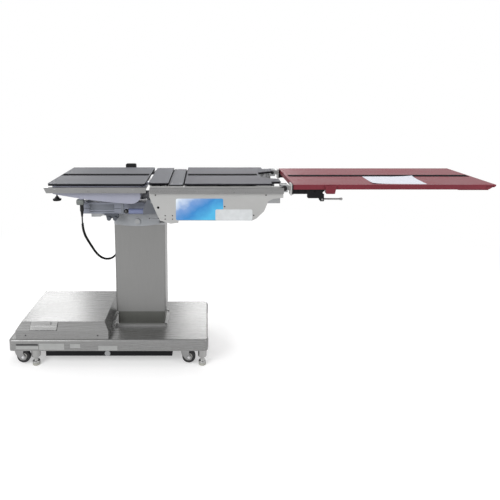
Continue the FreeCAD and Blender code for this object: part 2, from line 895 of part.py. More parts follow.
def leg_cheeks(side):
    """The fork at the leg end of a side member, that holds the leg hinge."""
    inner, outer = side * leg_cheek_inner_y, side * leg_cheek_outer_y
    parts = [box(frame_right, leg_block_left + 2.0, inner, outer, leg_block_bottom,
                 leg_block_top)]
    for y0, y1 in ((inner, inner + side * leg_cheek), (outer - side * leg_cheek, outer)):
        parts.append(box(frame_right, leg_block_right, y0, y1, leg_block_bottom,
                         leg_block_top))
    return fuse(parts)


def seat_frame():
    """Side members, cross members, carriages, bridge guides and hinge forks."""
    parts = []
    tools = []
    for side in NEAR_FAR:
        parts.append(side_member(side))
        parts.append(leg_cheeks(side))
        parts += [carriage(x, side) for x in (carriage_left_x, carriage_right_x)]
        guide_y = side * bridge_post_y
        parts.append(rod((bridge_middle, guide_y, bridge_guide_bottom), (0, 0, 1),
                         bridge_guide_radius, bridge_guide_top - bridge_guide_bottom))
        parts.append(box(bridge_middle - 10.0, bridge_middle + 10.0, guide_y,
                         side * (frame_outer_y - 1.0), frame_bottom, cross_bottom))
        tools.append(rod((bridge_middle, guide_y, 0), (0, 0, 1),
                         bridge_post_radius + running_fit, top_z))
        tools.append(cross_rod(leg_pin_x, leg_pin_z, leg_pin_radius + running_fit,
                               side * (leg_cheek_inner_y - 1.0),
                               side * (leg_cheek_outer_y + 1.0)))
        for x, y in panel_rest_places:
            low = frame_top if x < 100.0 else frame_top - 25.0
            parts.append(rod((x, side * y, low), (0, 0, 1), 8.0, core_bottom - low))
        parts.append(box(130.0, 150.0, side * 184.0, side * (frame_inner_y + 1.0),
                         frame_top - 25.0, frame_top - 10.0))
    for x in cross_places:
        parts.append(box(x, x + cross_width, -frame_inner_y - 1.0, frame_inner_y + 1.0,
                         cross_bottom, frame_top))
    parts += [hinge_arm(frame_left + 2.0, frame_top - 18.0, frame_top, y0, y1)
              for y0, y1 in seat_knuckles()]
    reach = hinge_arm_inner_y + 2 * hinge_knuckle_length + 2.0
    tools.append(cross_rod(hinge_x, hinge_z, hinge_pin_radius, -reach, reach))
    return cut(fuse(parts), tools)


# The moulded cover's side view: X, and depth under the tabletop
cover_profile = [(-490.0, 15.0), (-496.0, 43.0), (-491.0, 73.0), (-461.0, 147.0),
                 (-440.0, 192.0), (-386.0, 208.0), (-347.0, 203.0), (-347.0, 192.0),
                 (28.0, 192.0), (52.0, 180.0), (90.0, 142.0), (109.0, 93.0), (121.0, 85.0),
                 (138.0, 78.0), (186.0, 73.0), (186.0, 53.0), (171.0, 49.0), (171.0, 15.0)]
cover_outline = [(x, top_z - depth) for x, depth in cover_profile]


def seat_cover(side):
    """A moulded side cover, hollow towards the frame."""
    face = side * cover_outer_y
    inner = side * frame_outer_y
    shape = side_profile(cover_outline, inner, face)
    corners = [V(x, 0, z) for x, z in cover_outline]
    smaller = Part.makePolygon(corners + corners[:1]).makeOffset2D(-cover_wall)
    pocket = Part.Face(smaller)
    depth = cover_outer_y - frame_outer_y - cover_wall + 1.0
    start = min(inner - side, inner - side + side * depth)
    pocket.translate(V(0, start, 0))
    return shape.cut(pocket.extrude(V(0, depth, 0)))


def spacers(places, from_y, z, side):
    return [cross_rod(x, z, rail_spacer_radius, side * from_y, side * rail_inner_y)
            for x in places]


def rail_stops(places, z, side):
    proud = rail_outer_y + rail_stop_proud
    return [cross_rod(x, z, rail_stop_radius, side * (rail_outer_y - 1.0), side * proud)
            for x in places]


def seat_rail(side):
    z0, z1 = seat_rail_bottom, seat_rail_bottom + rail_height
    middle = (z0 + z1) / 2
    bar = box(seat_rail_left, seat_right, side * rail_inner_y, side * rail_outer_y, z0, z1)
    stops = rail_stops((seat_stop_left, seat_stop_right), z0 + rail_stop_radius, side)
    return fuse([bar] + spacers((-440.0, -250.0, -60.0, 130.0), cover_outer_y, middle, side)
                + stops)


def seat_plan(z0, z1):
    """The seat panel: a flared cut-out at the leg end and a notch each side of it."""
    half = []
    for side in (-1, 1):
        edge = [(seat_panel_left, side * panel_half_width), (notch_left, side * panel_half_width),
                (notch_left, side * notch_inner_y), (seat_panel_right, side * notch_inner_y),
                (seat_panel_right, side * cutout_outer_half),
                (cutout_left, side * cutout_inner_half)]
        half += edge if side < 0 else edge[::-1]
    shape = plan(half, z0, z1)

    def inner_corner(a, b):
        return upright(a, b) and abs(a.x - cutout_left) < 0.01

    def outer_corner(a, b):
        return upright(a, b) and abs(abs(a.y) - panel_half_width) < 0.01
    return round_edges(round_edges(shape, cutout_radius, inner_corner), 8.0, outer_corner)


def lumbar_plan(z0, z1):
    shape = box(lumbar_left, lumbar_right, -lumbar_half_width, lumbar_half_width, z0, z1)

    def left_corner(a, b):
        return upright(a, b) and abs(a.x - lumbar_left) < 0.01
    return round_edges(shape, 18.0, left_corner)


def strip(x0, x1, z):
    return box(x0, x1, -strip_width / 2, strip_width / 2, z, z + strip_thick)


def bridge_lift():
    """The bridge's core with the two posts that raise it."""
    z1 = core_top - bridge_drop
    core = rounded_block(bridge_left, bridge_right, bridge_half_width, z1 - core_thick, z1, 6.0)
    posts = [rod((bridge_middle, side * bridge_post_y, bridge_post_bottom), (0, 0, 1),
                 bridge_post_radius, z1 - core_thick - bridge_post_bottom)
             for side in NEAR_FAR]
    return fuse([core] + posts)


def hinge_pins():
    pins = []
    for side in NEAR_FAR:
        inner = side * (hinge_arm_inner_y - 1.0)
        outer = side * (hinge_arm_inner_y + 2 * hinge_knuckle_length + 1.5)
        pins.append(cross_rod(hinge_x, hinge_z, hinge_pin_radius, inner, outer))
    return pins


def back_cylinder(side):
    """Cylinder with a ball end, in a bracket on the side member."""
    y = side * cylinder_y
    tube = rod((cylinder_left, y, cylinder_z), (1, 0, 0), cylinder_radius,
               cylinder_right - cylinder_left)
    stem = rod((cylinder_ball_x, y, cylinder_z), (1, 0, 0), 6.0, 20.0)
    ball = Part.makeSphere(cylinder_ball_radius, V(cylinder_ball_x, y, cylinder_z))
    foot_left, foot_right = hinge_x - 1.0, frame_left + 24.0
    foot_top = frame_bottom + 13.0
    bracket = side_profile([(cylinder_right, cylinder_z - 13.0), (cylinder_right, cylinder_z + 15.0),
                            (foot_left, foot_top), (foot_right, foot_top),
                            (foot_right, cylinder_z - 7.0)],
                           side * (cylinder_y - cylinder_radius), side * frame_inner_y)
    return fuse([tube, stem, ball, bracket])


save("seat_frame", seat_frame())
save("seat_covers", *[seat_cover(side) for side in NEAR_FAR])
save("seat_rails", *[seat_rail(side) for side in NEAR_FAR])
save("seat_cores", lumbar_plan(core_bottom, core_top), seat_plan(core_bottom, core_top))
save("seat_panel", seat_plan(core_top, top_z))
save("lumbar_panel", lumbar_plan(core_top, top_z))
save("seat_strip", strip(seat_panel_left + 8.0, cutout_left - 11.0, top_z))
save("bridge_lift", bridge_lift())
save("bridge_panel", rounded_block(bridge_left, bridge_right, bridge_half_width,
                                   core_top - bridge_drop, top_z - bridge_drop, 6.0))
save("hinge_pins", *hinge_pins())
save("back_cylinders", *[back_cylinder(side) for side in NEAR_FAR])


def shell_outline():
    """The back section's belly, seen from the side, as a closed wire."""
    span = shell_right - shell_left
    a = V(shell_left, 0, top_z - shell_end_depth)
    b = V(shell_right - 0.14 * span, 0, top_z - shell_depth)
    c, d = V(shell_right, 0, top_z - shell_hinge_depth), V(shell_right, 0, core_bottom)
    e = V(shell_left, 0, core_bottom)
    long_middle = V(shell_left + 0.427 * span, 0, top_z - 0.817 * shell_depth)
    short_middle = V(shell_right - 0.053 * span, 0, top_z - 0.954 * shell_depth)
    return Part.Wire([Part.Arc(a, long_middle, b).toShape(),
                      Part.Arc(b, short_middle, c).toShape(),
                      Part.makeLine(c, d), Part.makeLine(d, e), Part.makeLine(e, a)])


def spread(wire, half_y):
    """A solid from a side outline, spread to both sides of the middle plane."""
    face = Part.Face(wire)
    face.translate(V(0, -half_y, 0))
    return face.extrude(V(0, 2 * half_y, 0))


def back_shell():
    """Cast pan under the back panel with head sockets and hinge arms, and below it the
    bolted lugs of the cylinders and the seats of the plugs."""
    outline = shell_outline()
    outer = spread(outline, shell_half_width)
    outer = round_edges(outer, 8.0, lambda a, b: upright(a, b) and a.x < shell_left + 1.0)
    inner = spread(outline.makeOffset2D(-shell_wall), shell_half_width - shell_wall)
    mouth = box(shell_left + shell_wall, shell_right - shell_wall,
                -shell_half_width + shell_wall, shell_half_width - shell_wall,
                core_bottom - 20.0, core_bottom + 1.0)
    parts = [outer.cut(inner).cut(mouth)]
    below = []
    tools = []
    for side in NEAR_FAR:
        y = side * socket_y
        half = socket_block_half
        parts.append(box(socket_left, socket_left + socket_length, y - half, y + half,
                         socket_z - half, socket_z + half))
        tools.append(rod((socket_left - 1.0, y, socket_z), (1, 0, 0), socket_radius,
                         socket_length + 2.0))
        tools.append(rod((knob_x, y, socket_z - half - 5.0), (0, 0, 1),
                         knob_stem_radius + running_fit, half + 5.0))
        lug = box(lug_right - lug_thick, lug_right, side * (cylinder_y - lug_half),
                  side * (cylinder_y + lug_half), cylinder_z - cylinder_ball_radius,
                  top_z - 0.9 * shell_depth)
        seat = rod((plug_x, side * abs(plug_y), plug_top + face_gap), (0, 0, 1),
                   plug_radius + 4.0, 13.0)
        below += [lug.cut(outer), seat.cut(outer)]
    parts += [hinge_arm(shell_right - 1.0, core_bottom - 30.0, core_bottom - 8.0, y0, y1)
              for y0, y1 in back_knuckles()]
    reach = hinge_arm_inner_y + 2 * hinge_knuckle_length + 2.0
    tools.append(cross_rod(hinge_x, hinge_z, hinge_pin_radius + running_fit, -reach, reach))
    return [cut(fuse(parts), tools)] + below


def back_plan(z0, z1):
    shape = box(back_left, back_right, -panel_half_width, panel_half_width, z0, z1)
    return round_edges(shape, back_corner_radius, upright)


def back_rail(side):
    z0, z1 = back_rail_bottom, back_rail_bottom + rail_height
    middle = (z0 + z1) / 2
    bar = side_profile([(back_rail_left, z1), (back_rail_left + 13.0, z0),
                        (back_rail_right, z0), (back_rail_right, z1)],
                       side * rail_inner_y, side * rail_outer_y)
    stops = rail_stops((back_stop_left, back_stop_right), z0 + rail_stop_radius, side)
    return fuse([bar] + spacers((shell_left + 27.0, shell_left + 192.0, shell_right - 28.0),
                               shell_half_width, middle, side)
                + stops)


def head_knob(side):
    """A cone grip on the stem that locks a head section's bar in its socket."""
    y = side * socket_y
    cone = Part.makeCone(knob_radius, 7.0, knob_top - knob_bottom, V(knob_x, y, knob_bottom))
    stem = rod((knob_x, y, knob_top), (0, 0, 1), knob_stem_radius,
               socket_z - socket_radius - 3.0 - knob_top)
    return fuse([cone, stem])


save("back_shell", *back_shell())
save("back_core", back_plan(core_bottom, core_top))
save("back_panel", back_plan(core_top, top_z))
save("back_strip", strip(back_left + 4.0, back_right - 6.0, top_z))
save("back_rails", *[back_rail(side) for side in NEAR_FAR])
for number, side in enumerate(NEAR_FAR, 1):
    save("head_knob_%d" % number, head_knob(side))


arm_inner_y = leg_cheek_inner_y + leg_cheek + face_gap
arm_outer_y = leg_cheek_outer_y - leg_cheek - face_gap
arm_middle_y = (arm_inner_y + arm_outer_y) / 2
plate_right = leg_plate_left + leg_plate_thick


def leg_arm(side):
    """Hub and pin between the cheeks, the arm, and the plate the board meets."""
    inner, outer = side * arm_inner_y, side * arm_outer_y
    parts = [cross_rod(leg_pin_x, leg_pin_z, leg_hub_radius, inner, outer),
             cross_rod(leg_pin_x, leg_pin_z, leg_pin_radius, side * leg_cheek_inner_y,
                       side * leg_cheek_outer_y),
             box(leg_pin_x, plate_right, inner, outer, leg_pin_z - 12.0, leg_pin_z + 12.0),
             box(leg_plate_left, plate_right, side * (leg_cheek_inner_y - leg_plate_inner_margin),
                 side * (leg_cheek_outer_y + leg_plate_outer_margin),
                 leg_plate_bottom, leg_plate_top)]
    bore = rod((plate_right - board_pin_length, side * arm_middle_y, leg_pin_z), (1, 0, 0),
               board_pin_radius + running_fit, board_pin_length + 1.0)
    return cut(fuse(parts), [bore])


def leg_board():
    """The long board: undercut at its end, notched, with a boss on each side."""
    outline = [(board_left, board_bottom), (board_left, board_top),
               (board_right, board_top), (board_right, board_top - 7.0),
               (board_right - board_end_undercut, board_bottom)]
    shape = side_profile(outline, -panel_half_width, panel_half_width)
    parts = [shape, box(board_batten_left, board_right - board_end_undercut,
                        -panel_half_width + board_batten_inset,
                        panel_half_width - board_batten_inset, board_bottom - 6.0,
                        board_bottom)]
    tools = []
    for side in NEAR_FAR:
        face = side * panel_half_width
        boss = side_profile([(clamp_boss_left, board_top - 5.0), (clamp_boss_right, board_top - 5.0),
                             (clamp_boss_right - 8.0, clamp_boss_bottom),
                             (clamp_boss_left + 8.0, clamp_boss_bottom)],
                            face - side * 30.0, face + side * 9.0)
        parts.append(boss)
        tools.append(box(end_notch_left, end_notch_right, face - side * end_notch_depth,
                         face + side, board_bottom - 1.0, board_top - 6.0))
    return cut(fuse(parts), tools)


def board_bracket(side):
    """Steel bracket under the board's end, its pin, and the ears of the lock."""
    outer = side * (panel_half_width - bracket_inset)
    inner = outer - side * bracket_width
    front = plate_right + face_gap
    middle = (inner + outer) / 2
    parts = [box(front, board_left, side * leg_cheek_inner_y, side * leg_cheek_outer_y,
                 leg_plate_bottom + 4.0, board_top - 3.0),
             side_profile([(front, board_bottom), (front, board_bracket_bottom),
                           (board_bracket_right - 16.0, board_bracket_bottom),
                           (board_bracket_right, board_bottom - 8.0),
                           (board_bracket_right, board_bottom)], inner, outer),
             box(lock_left, lever_axis_x - lock_ear_reach, inner, outer, lock_bottom,
                 board_bracket_bottom)]
    for y0, y1 in ((inner, inner + side * lock_ear_thick),
                   (outer - side * lock_ear_thick, outer)):
        ear_left, ear_right = lever_axis_x - lock_ear_width, lever_axis_x + lock_ear_width
        ear_low = lever_axis_z - lock_ear_width
        parts.append(side_profile([(lever_axis_x - lock_ear_reach, board_bracket_bottom),
                                   (lever_axis_x - lock_ear_reach, lock_bottom),
                                   (ear_left, ear_low), (ear_right, ear_low),
                                   (ear_right, board_bracket_bottom)], y0, y1))
    parts.append(rod((front - board_pin_length + 1.0, side * arm_middle_y, leg_pin_z),
                     (1, 0, 0), board_pin_radius, board_pin_length + 4.0))
    shape = fuse(parts)
    bore = cross_rod(lever_axis_x, lever_axis_z, lever_pin_radius + running_fit,
                     middle - bracket_width, middle + bracket_width)
    return shape.cut(bore)


def lock_lever(side):
    """The hub on its pin between the ears, with a straight handle."""
    y = side * (panel_half_width - bracket_inset - bracket_width / 2)
    half = bracket_width / 2 - lock_ear_thick - face_gap
    pin_half = half + lock_ear_thick
    parts = [cross_rod(lever_axis_x, lever_axis_z, lever_hub_radius, y - half, y + half),
             cross_rod(lever_axis_x, lever_axis_z, lever_pin_radius, y - pin_half, y + pin_half),
             rod((lever_axis_x + 4.0, y, lever_axis_z), (1, 0, 0), 4.5, lever_length - 10.0),
             Part.makeSphere(lever_ball_radius,
                             V(lever_axis_x + lever_length - lever_ball_radius, y,
                               lever_axis_z))]
    return fuse(parts)


save("leg_arms", *[leg_arm(side) for side in NEAR_FAR])
save("leg_board", leg_board())
save("board_strip", strip(board_left + 14.0, board_right - 13.0, board_top))
save("board_brackets", *[board_bracket(side) for side in NEAR_FAR])
for number, side in enumerate(NEAR_FAR, 1):
    save("lock_lever_%d" % number, lock_lever(side))


def hand_control():
    """The handset's case on the far rail, held by a hook over the rail."""
    y0 = rail_outer_y + face_gap
    y1 = y0 + control_thick
    case = box(control_left, control_right, y0, y1, control_bottom, control_top)
    case = round_edges(case, 8.0, lambda a, b: abs(a.y - b.y) > control_thick - 1.0)
    rail_top = back_rail_bottom + rail_height
    hook_y = rail_inner_y - face_gap - 3.5
    over = box(control_left + 8.0, control_right - 8.0, hook_y, y0 + 1.0,
               rail_top + face_gap, rail_top + face_gap + 3.5)
    lip = box(control_left + 8.0, control_right - 8.0, hook_y, rail_inner_y - face_gap,
              rail_top - 14.0, rail_top + face_gap + 1.0)
    gland = rod(((control_left + control_right) / 2, (y0 + y1) / 2,
                 control_bottom - gland_length), (0, 0, 1), gland_radius, gland_length + 2.0)
    return fuse([case, over, lip, gland])


def plug():
    """The plug under the back shell, narrower where the cord leaves it."""
    body = rod((plug_x, plug_y, plug_bottom + 30.0), (0, 0, 1), plug_radius,
               plug_top - plug_bottom - 30.0)
    relief = Part.makeCone(cord_diameter / 2 + 1.0, plug_radius - 2.0, 30.0,
                           V(plug_x, plug_y, plug_bottom))
    return fuse([body, relief])


control_y = rail_outer_y + face_gap + control_thick / 2
control_x = (control_left + control_right) / 2
cord_hang = [
    (-849.0, -196.0, 259.0), (-847.0, -171.0, 296.0), (-845.0, -130.0, 333.0),
    (-844.0, -82.0, 371.0), (-844.0, -30.0, 410.0), (-843.0, 24.0, 451.0),
    (-838.0, 78.0, 492.0), (-822.0, 122.0, 527.0), (-800.0, 156.0, 545.0),
    (-777.0, 184.0, 548.0), (-756.0, 208.0, 533.0), (-734.0, 231.0, 502.0),
    (-714.0, 250.0, 458.0), (-697.0, 264.0, 405.0), (-683.0, 274.0, 347.0),
    (-673.0, 281.0, 287.0), (-667.0, 284.0, 231.0)]
cord_points = [(plug_x, plug_y, plug_bottom), (plug_x, plug_y, plug_bottom - 36.0)]
cord_points += [(x, y, top_z - depth) for x, y, depth in cord_hang]
cord_points += [(control_x, control_y, control_bottom - 42.0),
                (control_x, control_y, control_bottom - gland_length)]


def cord_tube(points, diameter):
    """Straight runs joined by tangent arcs, with a round section swept along."""
    spots = [V(*p) for p in points]
    edges = []
    start = spots[0]
    for before, here, after in zip(spots, spots[1:], spots[2:]):
        run_in, run_out = before - here, after - here
        reach = 0.45 * min(run_in.Length, run_out.Length)
        half = run_in.getAngle(run_out) / 2
        radius = reach * math.tan(half)
        way_in, way_out = V(run_in).normalize(), V(run_out).normalize()
        middle_way = (way_in + way_out).normalize()
        first, last = here + way_in * reach, here + way_out * reach
        middle = here + middle_way * (reach / math.cos(half) - radius)
        edges.append(Part.LineSegment(start, first).toShape())
        edges.append(Part.Arc(first, middle, last).toShape())
        start = last
        print("cord radius %.0f mm, run %.0f mm" % (radius, run_in.Length))
    edges.append(Part.LineSegment(start, spots[-1]).toShape())
    path = Part.Wire(edges)
    circle = Part.Circle(spots[0], spots[1] - spots[0], diameter / 2).toShape()
    tube = path.makePipeShell([Part.Wire([circle])], True, False)
    section = math.pi * diameter ** 2 / 4
    print("cord length %.1f mm, volume over section %.1f mm"
          % (path.Length, tube.Volume / section))
    return tube


save("hand_control", hand_control())
save("plug", plug())
save("cord", cord_tube(cord_points, cord_diameter))
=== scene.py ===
# %% [markdown]
# # Dressing an operating table
# The imported CAD model already has every main piece of the table at its right place and size. This lesson
# gives those pieces their finishes, and adds the small things that a CAD model leaves plain: cord, wheels,
# screws, blank plates, keys and pile. The first cell loads the model.

# %% Load the frame
import math

import bmesh
import bpy
from mathutils import Matrix, Vector, noise


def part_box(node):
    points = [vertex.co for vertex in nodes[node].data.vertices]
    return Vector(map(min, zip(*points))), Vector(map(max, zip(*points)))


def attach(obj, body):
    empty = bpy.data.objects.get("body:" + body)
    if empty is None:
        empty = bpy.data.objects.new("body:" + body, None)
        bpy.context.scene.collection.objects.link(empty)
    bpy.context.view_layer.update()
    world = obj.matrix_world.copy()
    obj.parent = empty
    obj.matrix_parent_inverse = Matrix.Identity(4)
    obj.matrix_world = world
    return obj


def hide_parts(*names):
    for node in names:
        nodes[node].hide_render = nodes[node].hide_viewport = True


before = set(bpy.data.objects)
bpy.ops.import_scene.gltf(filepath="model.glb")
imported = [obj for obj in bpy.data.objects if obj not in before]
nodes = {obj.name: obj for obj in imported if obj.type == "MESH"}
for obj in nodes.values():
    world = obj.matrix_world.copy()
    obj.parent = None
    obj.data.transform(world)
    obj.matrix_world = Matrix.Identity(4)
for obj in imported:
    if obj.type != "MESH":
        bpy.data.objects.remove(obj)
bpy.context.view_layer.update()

scene = bpy.context.scene
NEAR_FAR = (-1, 1)
FOUR = range(1, 5)
print("CAD nodes:", len(nodes))

# %% [markdown]
# ## The camera
# The photograph was taken from a little above the top, with the lens aimed slightly down and the picture
# window slid sideways and down. A shift does that sliding without turning the camera, so upright edges stay
# as they are.

# %% Camera
CAMERA_PLACE, CAMERA_TILT = (-0.206, -2.666, 1.486), 82.0
LENS, WINDOW_SHIFT = 34.99, (0.088, -0.187)
camera_data = bpy.data.cameras.new("studio_camera")
camera_data.sensor_width = 36.0
camera_data.lens = LENS
camera_data.shift_x, camera_data.shift_y = WINDOW_SHIFT
camera = bpy.data.objects.new("studio_camera", camera_data)
camera.location = CAMERA_PLACE
camera.rotation_euler = (math.radians(CAMERA_TILT), 0.0, 0.0)
scene.collection.objects.link(camera)
scene.camera = camera

# %% [markdown]
# ## Finishes as expressions
# A finish is a small tree of shader nodes. To keep its maths readable, a node's output is wrapped in a class
# whose operators add Math nodes, so a mask can be written as `1 - grain * 0.2`. Every other node comes from
# one method, which sets the node's options first and then fills its sockets.

# %% Shader helpers
class Value:
    """A node output that Python's operators can calculate with."""

    def __init__(self, finish, socket):
        self.finish = finish
        self.socket = socket

    def _math(self, operation, first, second):
        return self.finish.node("ShaderNodeMath", {"operation": operation}, [first, second])

    def __add__(self, other):
        return self._math("ADD", self, other)

    def __sub__(self, other):
        return self._math("SUBTRACT", self, other)

    def __rsub__(self, other):
        return self._math("SUBTRACT", other, self)

    def __mul__(self, other):
        return self._math("MULTIPLY", self, other)

    def __gt__(self, other):
        return self._math("GREATER_THAN", self, other)

    def __lt__(self, other):
        return self._math("LESS_THAN", self, other)


class Tree:
    """A node tree of a material or of the world."""

    def __init__(self, owner):
        owner.use_nodes = True
        self.owner = owner
        self.tree = owner.node_tree
        self.tree.nodes.clear()

    def node(self, kind, settings=None, inputs=(), out=0):
        """Add a node: its settings first, then the values or links of its sockets."""
        made = self.tree.nodes.new(kind)
        for key, value in (settings or {}).items():
            if key == "stops":
                ramp = made.color_ramp.elements
                while len(ramp) < len(value):
                    ramp.new(0.5)
                for stop, (place, colour) in zip(ramp, value):
                    stop.position = place
                    stop.color = (*colour, 1.0)
            else:
                setattr(made, key, value)
        pairs = inputs.items() if isinstance(inputs, dict) else enumerate(inputs)
        for key, value in pairs:
            if isinstance(value, Value):
                self.tree.links.new(value.socket, made.inputs[key])
            elif value is not None:
                made.inputs[key].default_value = value
        return Value(self, made.outputs[out])

    def end(self, kind, surface):
        """Add the output node and give it the finished surface."""
        self.tree.links.new(surface.socket, self.tree.nodes.new(kind).inputs[0])

    def place(self, scale=(1, 1, 1), turn=(0, 0, 0)):
        """Where on the piece a point lies, stretched or turned for a pattern."""
        spot = self.node("ShaderNodeTexCoord", out="Object")
        return self.node("ShaderNodeMapping", inputs={"Vector": spot, "Scale": scale, "Rotation": turn})

    def along(self, axis):
        """One coordinate of each point: 0 is lengthwise, 1 across, 2 upright."""
        spot = self.node("ShaderNodeTexCoord", out="Object")
        return self.node("ShaderNodeSeparateXYZ", inputs=[spot], out=axis)

    def noise(self, spot, scale, detail=4.0, roughness=0.5):
        return self.node("ShaderNodeTexNoise", inputs={
            "Vector": spot, "Scale": scale, "Detail": detail, "Roughness": roughness})

    def blend(self, mask, first, second):
        """Mix two colours, each a triple or a colour socket."""
        pair = [c if isinstance(c, Value) else (*c, 1.0) for c in (first, second)]
        return self.node("ShaderNodeMix", {"data_type": "RGBA"}, {0: mask, 6: pair[0], 7: pair[1]}, out=2)

    def ramp(self, value, stops):
        return self.node("ShaderNodeValToRGB", {"stops": stops}, [value])

    def shades(self, value, colour, low, high, start=0.35, end=0.65):
        """A colour that runs from darker to lighter as a pattern's value rises."""
        dark, light = [c * low for c in colour], [min(c * high, 1.0) for c in colour]
        return self.ramp(value, [(start, dark), (end, light)])

    def bump(self, height, strength, distance):
        return self.node("ShaderNodeBump", inputs={
            "Strength": strength, "Distance": distance, "Height": height})


class Finish(Tree):
    """A material round one Principled shader, whose constants sit on its own sockets."""

    def __init__(self, name, **constants):
        super().__init__(bpy.data.materials.new(name))
        self.shader = self.tree.nodes.new("ShaderNodeBsdfPrincipled")
        for key, value in constants.items():
            self.shader.inputs[key.replace("_", " ")].default_value = value
        self.end("ShaderNodeOutputMaterial", Value(self, self.shader.outputs[0]))

    def use(self, **values):
        """Link what varies over the surface."""
        for key, value in values.items():
            self.tree.links.new(value.socket, self.shader.inputs[key.replace("_", " ")])
        return self.owner


def srgb(red, green, blue):
    """A colour as a picture editor names it, made linear for the shader."""
    return tuple((c / 255 / 12.92) if c <= 10 else ((c / 255 + 0.055) / 1.055) ** 2.4
                 for c in (red, green, blue))


# %% [markdown]
# ## Floor, backdrop and light
# The photograph's background is plain white. The world is white only to the camera and to mirror-like rays,
# and much dimmer to everything else, so it doesn't wash the table out. The floor takes the soft shadow and
# gets just enough glow to reach white where nothing shades it.

# %% Floor
FLOOR_HALF, FLOOR_GREY, FLOOR_GLOW = 9.0, 0.80, 0.42
OPEN_FLOOR = (1.5, 3.2)
floor_bm = bmesh.new()
bmesh.ops.create_grid(floor_bm, x_segments=2, y_segments=2, size=FLOOR_HALF)
floor_mesh = bpy.data.meshes.new("studio_floor")
floor_bm.to_mesh(floor_mesh)
floor_bm.free()
floor = bpy.data.objects.new("studio_floor", floor_mesh)
scene.collection.objects.link(floor)

floor_tree = Tree(bpy.data.materials.new("floor_white"))


def seen_directly(tree):
    """1 for rays from the lens, from polished metal and through glass."""
    path = tree.node("ShaderNodeLightPath")
    kinds = [Value(tree, path.socket.node.outputs[key])
             for key in ("Is Camera Ray", "Is Glossy Ray", "Is Transmission Ray")]
    total = kinds[0] + kinds[1] + kinds[2]
    return tree.node("ShaderNodeMath", {"operation": "MINIMUM"}, [total, 1.0])


matt = floor_tree.node("ShaderNodeBsdfDiffuse", inputs={"Color": (FLOOR_GREY, FLOOR_GREY, FLOOR_GREY, 1.0)})
direct = seen_directly(floor_tree)
glow = floor_tree.node("ShaderNodeEmission", inputs={"Strength": direct * FLOOR_GLOW})
near_floor = floor_tree.node("ShaderNodeAddShader", inputs=[matt, glow])
far_floor = floor_tree.node("ShaderNodeEmission", inputs={"Strength": 1.0})
spot = floor_tree.node("ShaderNodeTexCoord", out="Object")
distance = floor_tree.node("ShaderNodeVectorMath", {"operation": "LENGTH"}, [spot], out="Value")
openness = floor_tree.node("ShaderNodeMapRange", {"interpolation_type": "SMOOTHSTEP"},
                           {"Value": distance, "From Min": OPEN_FLOOR[0], "From Max": OPEN_FLOOR[1]})
floor_tree.end("ShaderNodeOutputMaterial",
               floor_tree.node("ShaderNodeMixShader", inputs=[openness * direct, near_floor, far_floor]))
floor_mesh.materials.append(floor_tree.owner)

# %% World and lamps
scene.world = bpy.data.worlds.new("studio_world")
sky = Tree(scene.world)
WORLD_LIGHT = 0.42
strength = seen_directly(sky) * (1.0 - WORLD_LIGHT) + WORLD_LIGHT
backdrop = sky.node("ShaderNodeBackground", inputs={"Color": (1.0, 1.0, 1.0, 1.0), "Strength": strength})
sky.end("ShaderNodeOutputWorld", backdrop)
scene.view_settings.view_transform = "Standard"


def soft_lamp(name, place, target, wide, tall, power):
    """A soft box at a place, aimed at a target."""
    data = bpy.data.lights.new(name, "AREA")
    data.shape = "RECTANGLE"
    data.size, data.size_y = wide, tall
    data.energy = power
    lamp = bpy.data.objects.new(name, data)
    lamp.location = place
    lamp.rotation_euler = (Vector(target) - Vector(place)).to_track_quat("-Z", "Y").to_euler()
    scene.collection.objects.link(lamp)


soft_lamp("key_lamp", (-2.9, -3.2, 2.3), (-0.2, 0.0, 0.6), 2.2, 2.0, 105.0)
soft_lamp("top_lamp", (0.3, 0.6, 3.6), (0.0, 0.0, 0.8), 2.6, 2.6, 55.0)
soft_lamp("fill_lamp", (2.8, -2.2, 1.8), (0.2, 0.0, 0.6), 2.2, 2.2, 35.0)
soft_lamp("hood_lamp", (-2.20, 3.4, 2.0), (-1.0, 0.0, 0.3), 0.75, 0.9, 11.5)
soft_lamp("rear_lamp", (0.10, 3.6, 1.85), (-0.2, 0.0, 0.4), 1.3, 0.7, 15.0)

# %% [markdown]
# ## Metal and painted finishes
# Brushed stainless gets its look from very long, very thin noise: the pattern is stretched along the brushing
# direction and changes both the roughness and the surface's height. The large sheets are only partly
# metallic, so that the light they scatter lifts the dark reflections. Paint gets the faint orange peel of a
# sprayed coat and a slow drift in tone. Everything reads Object coordinates, which are the table's own metres
# here.

# %% Brushed metal
LENGTHWISE, ACROSS, UPRIGHT = 0, 1, 2
FINE_LINES, LONG_LINES = 900.0, 9.0


def brushed(name, colour, roughness, along, metallic=1.0, grain=0.10):
    """Metal brushed along an axis: its noise is fine across the brushing and long along it."""
    finish = Finish(name, Metallic=metallic)
    stretch = [FINE_LINES] * 3
    stretch[along] = LONG_LINES
    lines = finish.noise(finish.place(stretch), 1.0, detail=3.0)
    clouds = finish.noise(finish.place(), 5.0, detail=5.0)
    tone = finish.shades(lines * 0.7 + clouds * 0.3, colour, 1 - grain, 1 + grain)
    return finish.use(Base_Color=tone, Roughness=lines * 0.16 + clouds * 0.08 + (roughness - 0.12),
                      Normal=finish.bump(lines, 0.25, 0.00015))


